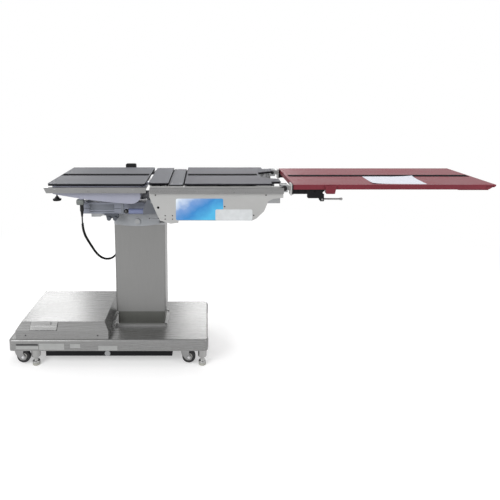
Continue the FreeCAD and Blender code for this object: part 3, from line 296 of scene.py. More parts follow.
def painted(name, colour, roughness, peel=0.2, grain=0.05, scuff=0.0, coat=0.0, shine=0.5, zone=None):
    """Sprayed paint or moulded plastic: orange peel, a slow drift in tone and a few scuffs. A zone is an axis, two
    places along it, and the colours that take over below the first place and above the second."""
    finish = Finish(name, Coat_Weight=coat, Coat_Roughness=0.12, Specular_IOR_Level=shine)
    skin = finish.noise(finish.place(), 420.0, detail=2.0)
    drift = finish.noise(finish.place(), 3.5, detail=6.0, roughness=0.6)
    tone = finish.shades(drift, colour, 1 - grain, 1 + grain)
    if zone:
        axis, below, above, low_colour, high_colour = zone
        tone = finish.blend(finish.along(axis) < below, tone, low_colour)
        tone = finish.blend(finish.along(axis) > above, tone, high_colour)
    rough = drift * 0.12 + (roughness - 0.06)
    if scuff:
        scratch = finish.noise(finish.place((14.0, 90.0, 60.0), turn=(0.2, 0.5, 0.3)), 6.0, detail=8.0)
        worn = finish.ramp(scratch, [(0.66, (0, 0, 0)), (0.74, (1, 1, 1))])
        tone = finish.blend(worn * scuff, tone, [min(1.0, c * 1.5 + 0.04) for c in colour])
    return finish.use(Base_Color=tone, Roughness=rough, Normal=finish.bump(skin, peel, 0.0002))


stainless = brushed("brushed_stainless", (0.232, 0.232, 0.230), 0.27, LENGTHWISE, metallic=0.55, grain=0.05)
stainless_upright = brushed("upright_stainless", (0.215, 0.215, 0.212), 0.40, UPRIGHT, grain=0.05)
# The access cover's steel is a lighter copy of the hood's stainless: a painted highlight that makes the cover
# stand out from the hood.
lit_flap_steel = brushed("lit_flap_steel", (0.31, 0.31, 0.308), 0.26, LENGTHWISE)
rail_steel = brushed("rail_steel", (0.25, 0.25, 0.25), 0.30, LENGTHWISE)
# The column flange's steel is a lighter copy of the base's stainless: a painted highlight for the light rim round
# the column's foot.
lit_flange_steel = brushed("lit_flange_steel", (0.33, 0.33, 0.328), 0.34, LENGTHWISE, metallic=0.55)
ground_steel = brushed("ground_steel", (0.55, 0.55, 0.56), 0.18, ACROSS, grain=0.04)
milled_aluminium = brushed("milled_aluminium", (0.30, 0.305, 0.31), 0.42, ACROSS)
# The lower sleeve is a darker copy of the upright stainless: painted shade, where it stands inside the upper
# sleeve.
shaded_sleeve_steel = brushed("lower_sleeve_shaded_steel", (0.125, 0.127, 0.118), 0.45, UPRIGHT, grain=0.05)
black_coat = painted("black_powder_coat", (0.005, 0.005, 0.006), 0.6, peel=0.5, scuff=0.06, shine=0.15)
cover_paint = painted("cover_paint", srgb(170, 170, 169), 0.34, coat=0.2)
housing_paint = painted("housing_paint", srgb(125, 129, 141), 0.38, scuff=0.1, coat=0.15)
# A darker copy of the housing's paint, for a sheet in the housing's side recess: painted shade inside the recess.
recess_shade_paint = painted("recess_shade_paint", srgb(105, 109, 117), 0.5, peel=0.4)
LUG_TOP, NOWHERE = 0.900, 9.0
shell_paint = painted("cast_shell_paint", srgb(146, 148, 163), 0.32, peel=0.35, coat=0.25,
                      zone=(UPRIGHT, LUG_TOP, NOWHERE, srgb(104, 108, 116), (0.0, 0.0, 0.0)))
cradle_paint = painted("cradle_paint", srgb(146, 149, 153), 0.36, peel=0.3)
dark_enamel = painted("dark_enamel", (0.012, 0.018, 0.023), 0.35, coat=0.2)
BALL_END, CYLINDER_FOOT = -0.606, -0.530
cylinder_enamel = painted("cylinder_enamel", srgb(100, 108, 140), 0.3, coat=0.3,
                          zone=(LENGTHWISE, BALL_END, CYLINDER_FOOT, (0.006, 0.006, 0.007), srgb(84, 87, 94)))
BRACKET_END, STOPS_START = -0.745, -0.600
fitting_enamel = painted("fitting_enamel", srgb(66, 70, 78), 0.4, coat=0.1,
                         zone=(LENGTHWISE, BRACKET_END, STOPS_START, srgb(150, 152, 154), srgb(146, 148, 152)))
cylinder_paint = painted("cylinder_paint", srgb(96, 99, 104), 0.42)
black_plastic = painted("black_plastic", (0.006, 0.006, 0.0065), 0.5, peel=0.6, shine=0.25)
socket_grey = painted("socket_grey", srgb(104, 108, 106), 0.4, peel=0.4)
pad_plastic = painted("pad_plastic", srgb(226, 222, 205), 0.4)
cast_iron = painted("cast_iron", (0.05, 0.05, 0.05), 0.75, peel=1.0, grain=0.2)
fork_steel = brushed("plated_fork", (0.27, 0.27, 0.27), 0.34, UPRIGHT, grain=0.05)
hub_plastic = painted("pale_hub", srgb(196, 196, 192), 0.4)

# %% [markdown]
# ## Panels, laminate and rubber
# The panels are a fine-grained laminate with a dull gloss, so two noises of different size are mixed: one
# gives the grain and one the clouding that cleaning leaves. The burgundy board is the same sheet in another
# colour, smoother, with hair-fine scratches along its length.

# %% Laminates and dark materials
def laminate(name, colour, roughness, grain=0.07, scratches=0.0, shine=0.1, relief=0.15):
    finish = Finish(name, Specular_IOR_Level=shine)
    fine = finish.noise(finish.place(), 900.0, detail=3.0)
    wiped = finish.noise(finish.place((1.0, 2.4, 1.0)), 4.0, detail=7.0, roughness=0.62)
    mix = fine * 0.45 + wiped * 0.55
    tone = finish.shades(mix, colour, 1 - grain, 1 + grain, 0.38, 0.62)
    rough = wiped * 0.22 + (roughness - 0.11)
    if scratches:
        hair = finish.noise(finish.place((3.0, 420.0, 40.0), turn=(0, 0, 0.05)), 1.0, detail=6.0)
        marks = finish.ramp(hair, [(0.63, (0, 0, 0)), (0.70, (1, 1, 1))])
        rough = rough + marks * scratches
    return finish.use(Base_Color=tone, Roughness=rough, Normal=finish.bump(fine, relief, 0.0001))


def rubber(name, colour, roughness=0.7, shine=0.35):
    finish = Finish(name, Specular_IOR_Level=shine)
    pores = finish.noise(finish.place(), 700.0, detail=4.0)
    dust = finish.noise(finish.place(), 30.0, detail=6.0)
    tone = finish.shades(dust, colour, 0.85, 1.35)
    return finish.use(Base_Color=tone, Roughness=dust * 0.2 + (roughness - 0.1),
                      Normal=finish.bump(pores, 0.4, 0.0003))


panel_grey = laminate("panel_laminate", srgb(112, 113, 117), 0.55, shine=0.04)
seat_grey = laminate("seat_laminate", srgb(96, 96, 101), 0.55, shine=0.04)
core_black = laminate("core_edge", (0.006, 0.006, 0.007), 0.65, shine=0.05)
board_red = laminate("burgundy_laminate", srgb(114, 44, 54), 0.42, grain=0.10, scratches=0.12, shine=0.18,
                     relief=0.04)
tyre_rubber = rubber("tyre_rubber", (0.018, 0.018, 0.019))
cord_rubber = rubber("cord_jacket", (0.005, 0.005, 0.005), 0.6, shine=0.12)

# %% [markdown]
# The brake foot has two materials: a steel body over a pale plastic pad. A mask on the height of each point
# picks between them. This works here because the pad always starts at the same height in the table's frame.

# %% Foot finish
PAD_TOP = 0.0133
foot_finish = Finish("foot_steel_and_pad")
steel_part = foot_finish.along(UPRIGHT) > PAD_TOP
lines = foot_finish.noise(foot_finish.place((FINE_LINES, FINE_LINES, LONG_LINES)), 1.0)
pores = foot_finish.noise(foot_finish.place(), 500.0)
steel_tone = foot_finish.shades(lines, (0.36, 0.36, 0.355), 0.9, 1.1)
pad_tone = foot_finish.shades(pores, srgb(176, 176, 168), 0.9, 1.08)
foot_finish.use(Base_Color=foot_finish.blend(steel_part, pad_tone, steel_tone), Metallic=steel_part,
                Roughness=lines * 0.1 + 0.55 - steel_part * 0.30,
                Normal=foot_finish.bump(pores, 0.2, 0.0002))
foot_material = foot_finish.owner

# %% [markdown]
# ## Finishes on the CAD nodes
# A CAD node's mesh is never touched; it only gets a material in each of its slots. The table below names the
# finish of every node, so a node that was forgotten shows up in the printed count.

# %% Assign finishes
by_finish = [
    (stainless, ["base_cover", "motor_hood"]),
    (lit_flap_steel, ["hood_flap"]),
    (stainless_upright, ["upper_sleeve"]),
    (shaded_sleeve_steel, ["lower_sleeve"]),
    (rail_steel, ["seat_rails", "back_rails", "flange_bolts", "lock_lever_1", "lock_lever_2"]),
    (lit_flange_steel, ["column_flange"]),
    (ground_steel, ["roll_pin", "lift_ram", "hinge_pins", "guide_rails"]),
    (milled_aluminium, ["seat_frame", "column_head", "cross_shaft", "tilt_pin"]),
    (black_coat, ["base_chassis", "board_brackets"]),
    (cover_paint, ["seat_covers", "leg_arms"]),
    (cradle_paint, ["cradle"]),
    (housing_paint, ["slide_base"]),
    (shell_paint, ["back_shell"]),
    (fitting_enamel, ["slide_fittings"]),
    (cylinder_enamel, ["back_cylinders"]),
    (cylinder_paint, ["lift_barrel", "pump_unit"]),
    (cast_iron, ["ballast"]),
    (pad_plastic, ["guide_pads"]),
    (panel_grey, ["back_panel", "lumbar_panel", "bridge_panel"]),
    (seat_grey, ["seat_panel"]),
    (core_black, ["seat_cores", "bridge_lift", "back_core", "seat_strip", "back_strip", "board_strip"]),
    (board_red, ["leg_board"]),
    (black_plastic, ["head_knob_1", "head_knob_2", "hand_control", "plug"]),
    (cord_rubber, ["cord"]),
    (fork_steel, ["caster_fork_%d" % n for n in FOUR]),
    (tyre_rubber, ["caster_wheel_%d" % n for n in FOUR]),
    (foot_material, ["brake_foot_%d" % n for n in FOUR]),
]
dressed = set()
for finish, names in by_finish:
    for name in names:
        mesh = nodes[name].data
        mesh.materials.clear()
        mesh.materials.append(finish)
        dressed.add(name)
print("dressed", len(dressed), "left plain:", sorted(set(nodes) - dressed))

# %% [markdown]
# ## Modelling helpers
# Small pieces are made with bmesh operators: a cube with its edges bevelled, a half outline spun round an
# axis, or a disc whose top face is inset and pushed in. Each finished piece keeps its object at the origin,
# so its place is in its mesh, and it rides on the CAD body that carries it.

# %% Mesh helpers
WELD = 1e-7


def block(bm, low, high, edge=0.0, segments=3):
    """A box between two corners with its edges rounded."""
    made = bmesh.ops.create_cube(bm, size=1.0)["verts"]
    bmesh.ops.scale(bm, vec=Vector(high) - Vector(low), verts=made)
    bmesh.ops.translate(bm, vec=(Vector(low) + Vector(high)) / 2, verts=made)
    if edge:
        edges = list({e for v in made for e in v.link_edges})
        bmesh.ops.bevel(bm, geom=edges, offset=edge, affect="EDGES", segments=segments, profile=0.5,
                        material=-1)


def moved_block(bm, low, high, edge, matrix):
    """A block that a matrix turns and moves after it is made."""
    old = set(bm.verts)
    block(bm, low, high, edge, 2)
    bmesh.ops.transform(bm, matrix=matrix, verts=[v for v in bm.verts if v not in old])


def side_block(bm, side, low, high, edge):
    """A block given for the far side. Where side is -1 it is made on the near side."""
    y0, y1 = sorted((side * low[1], side * high[1]))
    block(bm, (low[0], y0, low[2]), (high[0], y1, high[2]), edge, 2)


def turned(bm, profile, place, axis, steps=32, closed=False):
    """Spin an outline of (radius, height) points round an axis through a place."""
    old = set(bm.verts)
    rim = [bm.verts.new((radius, 0.0, height)) for radius, height in profile]
    edges = [bm.edges.new(pair) for pair in zip(rim, rim[1:])]
    if closed:
        edges.append(bm.edges.new((rim[-1], rim[0])))
    bmesh.ops.spin(bm, geom=rim + edges, cent=(0, 0, 0), axis=(0, 0, 1), dvec=(0, 0, 0),
                   angle=math.tau, steps=steps, use_merge=True, use_duplicate=False)
    fresh = [v for v in bm.verts if v not in old]
    bmesh.ops.remove_doubles(bm, verts=fresh, dist=WELD)
    fresh = [v for v in bm.verts if v not in old]
    turn = Vector(axis).to_track_quat("Z", "Y").to_matrix().to_4x4()
    bmesh.ops.transform(bm, matrix=Matrix.Translation(place) @ turn, verts=fresh)


def upright_plate(bm, outline, y, thick, edge):
    """A plate that stands lengthwise: its (x, z) outline as one face, extruded along y and bevelled."""
    rim = [bm.verts.new((x, y, z)) for x, z in outline]
    face = bm.faces.new(rim)
    grown = bmesh.ops.extrude_face_region(bm, geom=[face])["geom"]
    far = [g for g in grown if isinstance(g, bmesh.types.BMVert)]
    bmesh.ops.translate(bm, vec=(0, thick, 0), verts=far)
    edges = list({e for v in far for e in v.link_edges if all(w in far for w in e.verts)})
    bmesh.ops.bevel(bm, geom=edges, offset=edge, affect="EDGES", segments=2, profile=0.5, material=-1)


def screw(bm, place, axis, radius, proud=0.0018, steps=20):
    """A pan-head screw with a socket, its head standing on a face."""
    turned(bm, [(0.0, proud - 0.0012), (0.42 * radius, proud - 0.0012), (0.46 * radius, proud),
                (0.78 * radius, proud * 0.96), (0.95 * radius, proud * 0.62), (radius, 0.0),
                (radius, -0.0006), (0.0, -0.0006)], place, axis, steps)


def piece(name, bm, body, finish, sharp=38.0):
    """Close the mesh work: clean it, give it its finish, slot and body."""
    bmesh.ops.remove_doubles(bm, verts=bm.verts, dist=WELD)
    bmesh.ops.recalc_face_normals(bm, faces=bm.faces)
    mesh = bpy.data.meshes.new(name)
    bm.to_mesh(mesh)
    bm.free()
    mesh.shade_smooth()
    mesh.set_sharp_from_angle(angle=math.radians(sharp))
    mesh.materials.append(finish)
    made = bpy.data.objects.new(name, mesh)
    scene.collection.objects.link(made)
    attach(made, body)
    print(name, "on", body, len(mesh.polygons), "faces")
    return made


# %% [markdown]
# ## The hand control's cord
# The cord leaves the plug straight down, swings under the back section to the far side behind the column and
# rises into the hand control. Its line is a NURBS spline through the same points as the CAD tube, so it
# curves as a soft cable does. Order 3 and the end points are set after the points, or Blender would keep
# straight runs.

# %% Cord
CORD_RADIUS = 0.0035
route = [
    (-0.851, -0.203, 0.822), (-0.851, -0.203, 0.786), (-0.849, -0.196, 0.750), (-0.847, -0.171, 0.713),
    (-0.845, -0.130, 0.676), (-0.844, -0.082, 0.638), (-0.844, -0.030, 0.599), (-0.843, 0.024, 0.558),
    (-0.838, 0.078, 0.517), (-0.822, 0.122, 0.482), (-0.800, 0.156, 0.464), (-0.777, 0.184, 0.461),
    (-0.756, 0.208, 0.476), (-0.734, 0.231, 0.507), (-0.714, 0.250, 0.551), (-0.697, 0.264, 0.604),
    (-0.683, 0.274, 0.662), (-0.673, 0.281, 0.722), (-0.667, 0.284, 0.778), (-0.6655, 0.2843, 0.820),
    (-0.6655, 0.2843, 0.848)]


def tube(name, kind, points, radius, rounding):
    """A round line through points, in the cord's rubber and on the back section."""
    curve = bpy.data.curves.new(name, "CURVE")
    curve.dimensions = "3D"
    curve.bevel_depth = radius
    curve.bevel_resolution = rounding
    curve.resolution_u = 10
    curve.use_fill_caps = True
    spline = curve.splines.new(kind)
    spline.points.add(len(points) - 1)
    for point, xyz in zip(spline.points, points):
        point.co = (*xyz, 1.0)
    if kind == "NURBS":
        spline.order_u = 3
        spline.use_endpoint_u = True
    curve.materials.append(cord_rubber)
    made = bpy.data.objects.new(name, curve)
    scene.collection.objects.link(made)
    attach(made, "back")
    return made


cord = tube("hand_control_cord", "NURBS", route, CORD_RADIUS, 5)
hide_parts("cord")

# %% [markdown]
# A spiral wrap protects the hanging loop, which is why the cord looks thick there. Its helix needs points
# along the cord's own line, so the line is evaluated once without its thickness and read as a mesh. Each
# point is then set off sideways by an angle that grows with the distance travelled.

# %% Spiral wrap
WRAP_FROM, WRAP_TO = 0.034, 0.640
WRAP_PITCH, WRAP_RADIUS, WRAP_BAND = 0.0052, 0.0044, 0.0023
WRAP_STEPS = 10
bare_curve = cord.data.copy()
bare_curve.bevel_depth = 0.0
bare = bpy.data.objects.new("cord_line", bare_curve)
scene.collection.objects.link(bare)
line = bpy.data.meshes.new_from_object(bare.evaluated_get(bpy.context.evaluated_depsgraph_get()))
line_points = [v.co.copy() for v in line.vertices]
bpy.data.objects.remove(bare)
helix, travelled, aside = [], 0.0, Vector((1.0, 0.0, 0.0))
for here, after in zip(line_points, line_points[1:]):
    run = after - here
    way = run.normalized()
    aside = (aside - way * aside.dot(way)).normalized()
    over = way.cross(aside)
    steps = max(1, round(run.length / (WRAP_PITCH / WRAP_STEPS)))
    for step in range(steps):
        reached = travelled + run.length * step / steps
        if WRAP_FROM < reached < WRAP_TO:
            angle = math.tau * reached / WRAP_PITCH
            outward = aside * math.cos(angle) + over * math.sin(angle)
            helix.append(here + run * step / steps + outward * WRAP_RADIUS)
    travelled += run.length
cord_wrap = tube("cord_wrap", "POLY", helix, WRAP_BAND, 1)
print("cord line %.3f m, wrap of %d points" % (travelled, len(helix)))

# %% [markdown]
# The plug and both strain reliefs are turned from outlines whose points come in groups of four: a rib and the
# groove under it. In a strain relief each rib is a little narrower than the one above, the taper that lets a
# real relief bend with the cord.

# %% Plug and strain reliefs
PLUG_X, PLUG_Y, PLUG_TOP, PLUG_END = -0.851, -0.203, 0.917, 0.822
RIB_GAP = 0.0004


def ribs(count, top, pitch, wide, land, deep, taper=0.0, slant=0.0004):
    """Outline points of ribs from the top down, each a taper narrower than the one above."""
    points = []
    for step in range(count):
        z, r = top - step * pitch, wide - step * taper
        points += [(r, z), (r, z - land), (r - deep, z - land - slant), (r - deep, z - pitch + RIB_GAP)]
    return points


def turned_between(bm, outline, x, y, top, end, steps):
    """Spin an outline given in the table's heights round an upright axis."""
    middle = (top + end) / 2
    turned(bm, [(r, z - middle) for r, z in outline], (x, y, middle), (0, 0, 1), steps)


bm = bmesh.new()
grip = [(0.0, PLUG_TOP), (0.0094, PLUG_TOP), (0.0100, 0.9160), (0.0100, 0.9075), (0.0092, 0.9068),
        (0.0092, 0.9055)]
grip += ribs(7, 0.9050, pitch=0.0058, wide=0.0100, land=0.0034, deep=0.0009, slant=0.0006)
grip += [(0.0100, 0.8630), (0.0098, 0.8560), (0.0082, 0.8520)]
grip += ribs(6, 0.8510, pitch=0.0048, wide=0.0078, land=0.0024, deep=0.0012, taper=0.00052)
grip += [(0.0042, PLUG_END), (0.0, PLUG_END)]
turned_between(bm, grip, PLUG_X, PLUG_Y, PLUG_TOP, PLUG_END, steps=40)
plug = piece("cord_plug", bm, "back", black_plastic)
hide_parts("plug")

bm = bmesh.new()
block(bm, (PLUG_X - 0.0260, PLUG_Y - 0.0150, PLUG_TOP - 0.0300),
      (PLUG_X + 0.0130, PLUG_Y + 0.0150, PLUG_TOP), 0.0085, 5)
piece("cord_socket_cap", bm, "back", socket_grey)

CONTROL_X, CONTROL_Y = -0.6655, 0.2843
BOOT_TOP, BOOT_END = 0.8600, 0.8235
bm = bmesh.new()
boot = [(0.0, BOOT_TOP), (0.0078, BOOT_TOP), (0.0078, 0.8575), (0.0070, 0.8560)]
boot += ribs(6, 0.8550, pitch=0.0050, wide=0.0068, land=0.0026, deep=0.0010, taper=0.00042)
boot += [(0.0041, BOOT_END), (0.0, BOOT_END)]
turned_between(bm, boot, CONTROL_X, CONTROL_Y, BOOT_TOP, BOOT_END, steps=32)
cord_boot = piece("hand_control_boot", bm, "back", cord_rubber)

# %% [markdown]
# ## Hand control
# The handset hangs on the far rail with its keys outwards. The CAD case stays. On it go a thin key plate, two
# rows of soft keys with rounded edges, a row of small lamps and the seam between the two case halves.

# %% Keys
KEY_ROWS, KEY_PITCH, KEY_ASIDE, FIRST_ROW = 6, 0.0185, 0.0125, 0.985
KEY_HALF = Vector((0.0088, 0.0, 0.0066))
KEY_FOOT, KEY_RISE = Vector((0, 0.0004, 0)), Vector((0, 0.0024, 0))
LAMP_COUNT, LAMP_PITCH, LAMP_ROW = 5, 0.009, 1.004
PLATE_MARGIN, PLATE_LOW, PLATE_HIGH = 0.006, 0.884, 1.014
SEAM_ASIDE, SEAM_LOW, SEAM_HIGH = 0.006, 0.870, 1.020
low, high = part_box("hand_control")
face_y = high.y
bm = bmesh.new()
block(bm, (low.x + PLATE_MARGIN, face_y - 0.0005, PLATE_LOW),
      (high.x - PLATE_MARGIN, face_y + 0.0009, PLATE_HIGH), 0.0006)
piece("key_plate", bm, "back", cover_paint)
bm = bmesh.new()
for row in range(KEY_ROWS):
    for column in (-1, 1):
        middle = Vector((CONTROL_X + column * KEY_ASIDE, face_y, FIRST_ROW - row * KEY_PITCH))
        block(bm, middle - KEY_HALF - KEY_FOOT, middle + KEY_HALF + KEY_RISE, 0.0016)
piece("hand_control_keys", bm, "back", dark_enamel)
bm = bmesh.new()
lamp_dome = [(0.0, 0.0016), (0.0011, 0.0014), (0.0017, 0.0008), (0.0018, -0.0004), (0.0, -0.0004)]
for column in range(LAMP_COUNT):
    turned(bm, lamp_dome, (CONTROL_X + (column - LAMP_COUNT // 2) * LAMP_PITCH, face_y + 0.0006, LAMP_ROW),
           (0, 1, 0), steps=16)
lamp_green = painted("key_lamp", srgb(104, 176, 92), 0.25, coat=0.5)
piece("hand_control_lamps", bm, "back", lamp_green)
bm = bmesh.new()
seam_y = (low.y + face_y) / 2 + SEAM_ASIDE
block(bm, (low.x - 0.0004, seam_y - 0.0006, SEAM_LOW), (high.x + 0.0004, seam_y + 0.0006, SEAM_HIGH), 0.0003, 2)
piece("hand_control_seam", bm, "back", cord_rubber)

# %% [markdown]
# ## Pile strips
# The black strips that hold the pads are hook-and-loop tape: a woven edge on each side and a raised band of
# loops between. The band is a fine grid whose points are lifted by seeded noise, which gives the pile its
# uneven top edge, and the finish adds the loops themselves as a cell pattern.

# %% Strips
def pile(name):
    finish = Finish(name, Specular_IOR_Level=0.02)
    loops = finish.node("ShaderNodeTexVoronoi", {"feature": "F1"}, {"Vector": finish.place(), "Scale": 620.0})
    lint = finish.noise(finish.place(), 60.0, detail=5.0)
    tone = finish.shades(lint * 0.6 + loops * 0.5, (0.008, 0.008, 0.009), 0.6, 2.2, 0.3, 0.75)
    return finish.use(Base_Color=tone, Roughness=lint * 0.15 + 0.8,
                      Normal=finish.bump(1.0 - loops, 0.7, 0.0008))


pile_black = pile("pile_black")
PILE_CELL, PILE_END, PILE_SIDE = 0.0035, 0.002, 0.008
WOVEN, PILE_TOP, PILE_DEEP = 0.0007, 0.0015, 0.0011
STRIPS = {"seat_strip": ("seat", "seat_pile_strip"), "back_strip": ("back", "back_pile_strip"),
          "board_strip": ("leg_board", "board_pile_strip")}
for node, (body, name) in STRIPS.items():
    low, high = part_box(node)
    bm = bmesh.new()
    block(bm, low, (high.x, high.y, low.z + WOVEN), 0.0003, 2)
    length, width = high.x - low.x - PILE_END, high.y - low.y - PILE_SIDE
    old = set(bm.verts)
    bmesh.ops.create_grid(bm, x_segments=max(2, round(length / PILE_CELL)), y_segments=round(width / PILE_CELL),
                          size=0.5)
    band = [v for v in bm.verts if v not in old]
    bmesh.ops.scale(bm, vec=(length, width, 1.0), verts=band)
    bmesh.ops.translate(bm, vec=((low.x + high.x) / 2, (low.y + high.y) / 2, low.z + PILE_TOP), verts=band)
    faces = list({f for v in band for f in v.link_faces})
    skirt = bmesh.ops.extrude_face_region(bm, geom=faces)["geom"]
    lower = [v for v in skirt if isinstance(v, bmesh.types.BMVert)]
    bmesh.ops.translate(bm, vec=(0, 0, -PILE_DEEP), verts=lower)
    for v in band:
        if v.is_valid:
            v.co.z += 0.0004 * noise.noise(v.co * 260.0) - (0.0003 if v.is_boundary else 0.0)
    strip = piece(name, bm, body, pile_black, sharp=60.0)
    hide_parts(node)

# %% [markdown]
# ## Caster wheels
# A caster wheel is two turned pieces. The tyre's outline has rounded shoulders and two fine grooves in its
# tread. The hub's outline is a rim, a thin web and a boss, and six ribs cross the web. The axle gets a nut at
# each end, and the swivel bearing a round cover above the crown.

# %% Casters
WHEEL_Z, TRAIL, HUB_RIBS, BEARING_TOP = 0.047, 0.025, 6, 0.1032
CHEEK_INNER, CHEEK_OUTER = 0.0161, 0.0178
CASTERS = {1: (-1.219, -0.200), 2: (-1.219, 0.200), 3: (-0.324, -0.200), 4: (-0.324, 0.200)}
tyre_outline = [(0.0190, -0.0108), (0.0315, -0.0120), (0.0342, -0.0112), (0.0356, -0.0088), (0.0360, -0.0050),
                (0.0360, -0.0034), (0.0353, -0.0031), (0.0353, -0.0024), (0.0360, -0.0021), (0.0360, 0.0021),
                (0.0353, 0.0024), (0.0353, 0.0031), (0.0360, 0.0034), (0.0360, 0.0050), (0.0356, 0.0088),
                (0.0342, 0.0112), (0.0315, 0.0120), (0.0190, 0.0108)]
hub_half = [(0.0053, 0.0112), (0.0082, 0.0112), (0.0088, 0.0104), (0.0091, 0.0052), (0.0150, 0.0046),
            (0.0160, 0.0104), (0.0166, 0.0112), (0.0191, 0.0112)]
hub_outline = hub_half + [(r, -h) for r, h in reversed(hub_half)]
nut_outline = [(0.0, 0.0062), (0.0030, 0.0060), (0.0046, 0.0050), (0.0050, 0.0036), (0.0078, 0.0034),
               (0.0080, 0.0), (0.0, 0.0)]
bearing_outline = [(0.0, 0.0), (0.0255, 0.0), (0.0262, -0.0012), (0.0262, -0.0048), (0.0245, -0.0060),
                   (0.0, -0.0060)]
for number, (x, y) in CASTERS.items():
    centre = Vector((x + TRAIL, y, WHEEL_Z))
    bm = bmesh.new()
    turned(bm, tyre_outline, centre, (0, 1, 0), steps=64, closed=True)
    tyre = piece("caster_tyre_%d" % number, bm, "caster_wheel_%d" % number, tyre_rubber)
    bm = bmesh.new()
    turned(bm, hub_outline, centre, (0, 1, 0), steps=48, closed=True)
    for rib in range(HUB_RIBS):
        turn = Matrix.Rotation(rib * math.tau / HUB_RIBS, 4, "Y")
        moved_block(bm, (0.0086, -0.0092, -0.0013), (0.0160, 0.0092, 0.0013), 0.0005,
                    Matrix.Translation(centre) @ turn)
    piece("caster_hub_%d" % number, bm, "caster_wheel_%d" % number, hub_plastic)
    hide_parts("caster_wheel_%d" % number)
    bm = bmesh.new()
    for side in NEAR_FAR:
        turned(bm, nut_outline, centre + Vector((0, side * CHEEK_OUTER, 0)), (0, side, 0), steps=6)
    turned(bm, bearing_outline, Vector((x, y, BEARING_TOP)), (0, 0, 1), steps=40)
    piece("caster_nuts_%d" % number, bm, "caster_%d" % number, ground_steel)

# %% [markdown]
# A pressed cheek lies on the outside of each fork leg. It is wide at the crown, swept back with the trail and
# round at the axle, so it hides the front half of the wheel. Its outline becomes one face, which is extruded
# to the thickness of the sheet and bevelled.

# %% Fork cheeks
CHEEK_OUTLINE = [(-0.0200, 0.0935), (-0.0190, 0.0860), (-0.0140, 0.0640), (0.0000, 0.0450), (0.0085, 0.0345),
                 (0.0170, 0.0300), (0.0290, 0.0290), (0.0390, 0.0330), (0.0430, 0.0410), (0.0410, 0.0490),
                 (0.0300, 0.0590), (0.0265, 0.0680), (0.0275, 0.0840), (0.0270, 0.0935)]
for number, (x, y) in CASTERS.items():
    bm = bmesh.new()
    for side in NEAR_FAR:
        upright_plate(bm, [(x + dx, z) for dx, z in CHEEK_OUTLINE], y + side * CHEEK_INNER,
                      side * (CHEEK_OUTER - CHEEK_INNER), 0.0006)
    piece("caster_cheeks_%d" % number, bm, "caster_%d" % number, fork_steel)

# %% [markdown]
# ## Brake feet
# Four feet come down to take the table's weight off the wheels. Each is turned from one outline: a grooved
# pad, a thin neck and the sleeve that slides in the chassis.

# %% Feet
foot_outline = [(0.0, 0.0), (0.0175, 0.0), (0.0196, 0.0015), (0.0205, 0.0050), (0.0205, 0.0112),
                (0.0192, 0.0125), (0.0192, 0.0142), (0.0205, 0.0156), (0.0205, 0.0215), (0.0188, 0.0245),
                (0.0120, 0.0262), (0.0104, 0.0285), (0.0104, 0.0465), (0.0118, 0.0485), (0.0225, 0.0500),
                (0.0240, 0.0525), (0.0240, 0.1200), (0.0, 0.1200)]
for number in FOUR:
    node = "brake_foot_%d" % number
    low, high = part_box(node)
    bm = bmesh.new()
    turned(bm, foot_outline, ((low.x + high.x) / 2, (low.y + high.y) / 2, 0.0), (0, 0, 1), steps=48)
    foot = piece("foot_%d_turned" % number, bm, "foot_%d" % number, foot_material)
    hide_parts(node)

# %% [markdown]
# Dark strips frame the access cover on the hood: a dark seam at each side, and a painted shadow line under its
# lower edge. The strips follow the hood's slope: each is a bevelled block, turned to the slope's angle before it
# is moved to its edge.

# %% Hood flap seams and painted shadow line
SLOPE_FOOT, SLOPE_HEAD = Vector((0.0, -0.2300, 0.2071)), Vector((0.0, -0.1992, 0.2408))
FLAP_LINE_OFF, FLAP_LINE_HALF, FLAP_LINE_SUNK, FLAP_LINE_EDGE = 0.0007, 0.0009, -0.0004, 0.0004
low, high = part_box("hood_flap")
slope = SLOPE_HEAD - SLOPE_FOOT
lean = Matrix.Rotation(math.atan2(slope.z, slope.y), 4, "X")
# The side strips are the cover's seams; the strip along its lower edge is a painted shadow line.
bm = bmesh.new()
for x in (low.x - FLAP_LINE_OFF, high.x + FLAP_LINE_OFF):
    middle = (SLOPE_FOOT + SLOPE_HEAD) / 2 + Vector((x, 0, 0))
    moved_block(bm, (-FLAP_LINE_HALF, -slope.length / 2, FLAP_LINE_SUNK), (FLAP_LINE_HALF, slope.length / 2, 0.0012),
                FLAP_LINE_EDGE, Matrix.Translation(middle) @ lean)
reach = FLAP_LINE_OFF + FLAP_LINE_HALF
moved_block(bm, (low.x - reach, -0.0012, FLAP_LINE_SUNK), (high.x + reach, 0.0006, 0.0014), FLAP_LINE_EDGE,
            Matrix.Translation(SLOPE_FOOT) @ lean)
piece("hood_flap_seams_and_shadow", bm, "base", black_coat)

# %% [markdown]
# ## Screws and small fittings
# Fasteners tell the eye how big a thing is. Each group below is one mesh on the body that carries it: cover
# screws on both moulded sides, flat screws in the side rails over their spacers and two low on each side of
# the hood.

# %% Cover screws
COVER_Y = 0.257
cover_screws = [(-0.449, 0.885, 0.0062), (-0.414, 0.843, 0.0030), (-0.377, 0.843, 0.0030),
                (-0.414, 0.825, 0.0030), (-0.377, 0.825, 0.0030), (-0.111, 0.8905, 0.0034),
                (0.037, 0.845, 0.0034), (-0.462, 0.950, 0.0034), (0.098, 0.950, 0.0034)]
bm = bmesh.new()
for side in NEAR_FAR:
    for x, z, radius in cover_screws:
        screw(bm, (x, side * COVER_Y, z), (0, side, 0), radius)
piece("cover_screws", bm, "seat", black_coat)

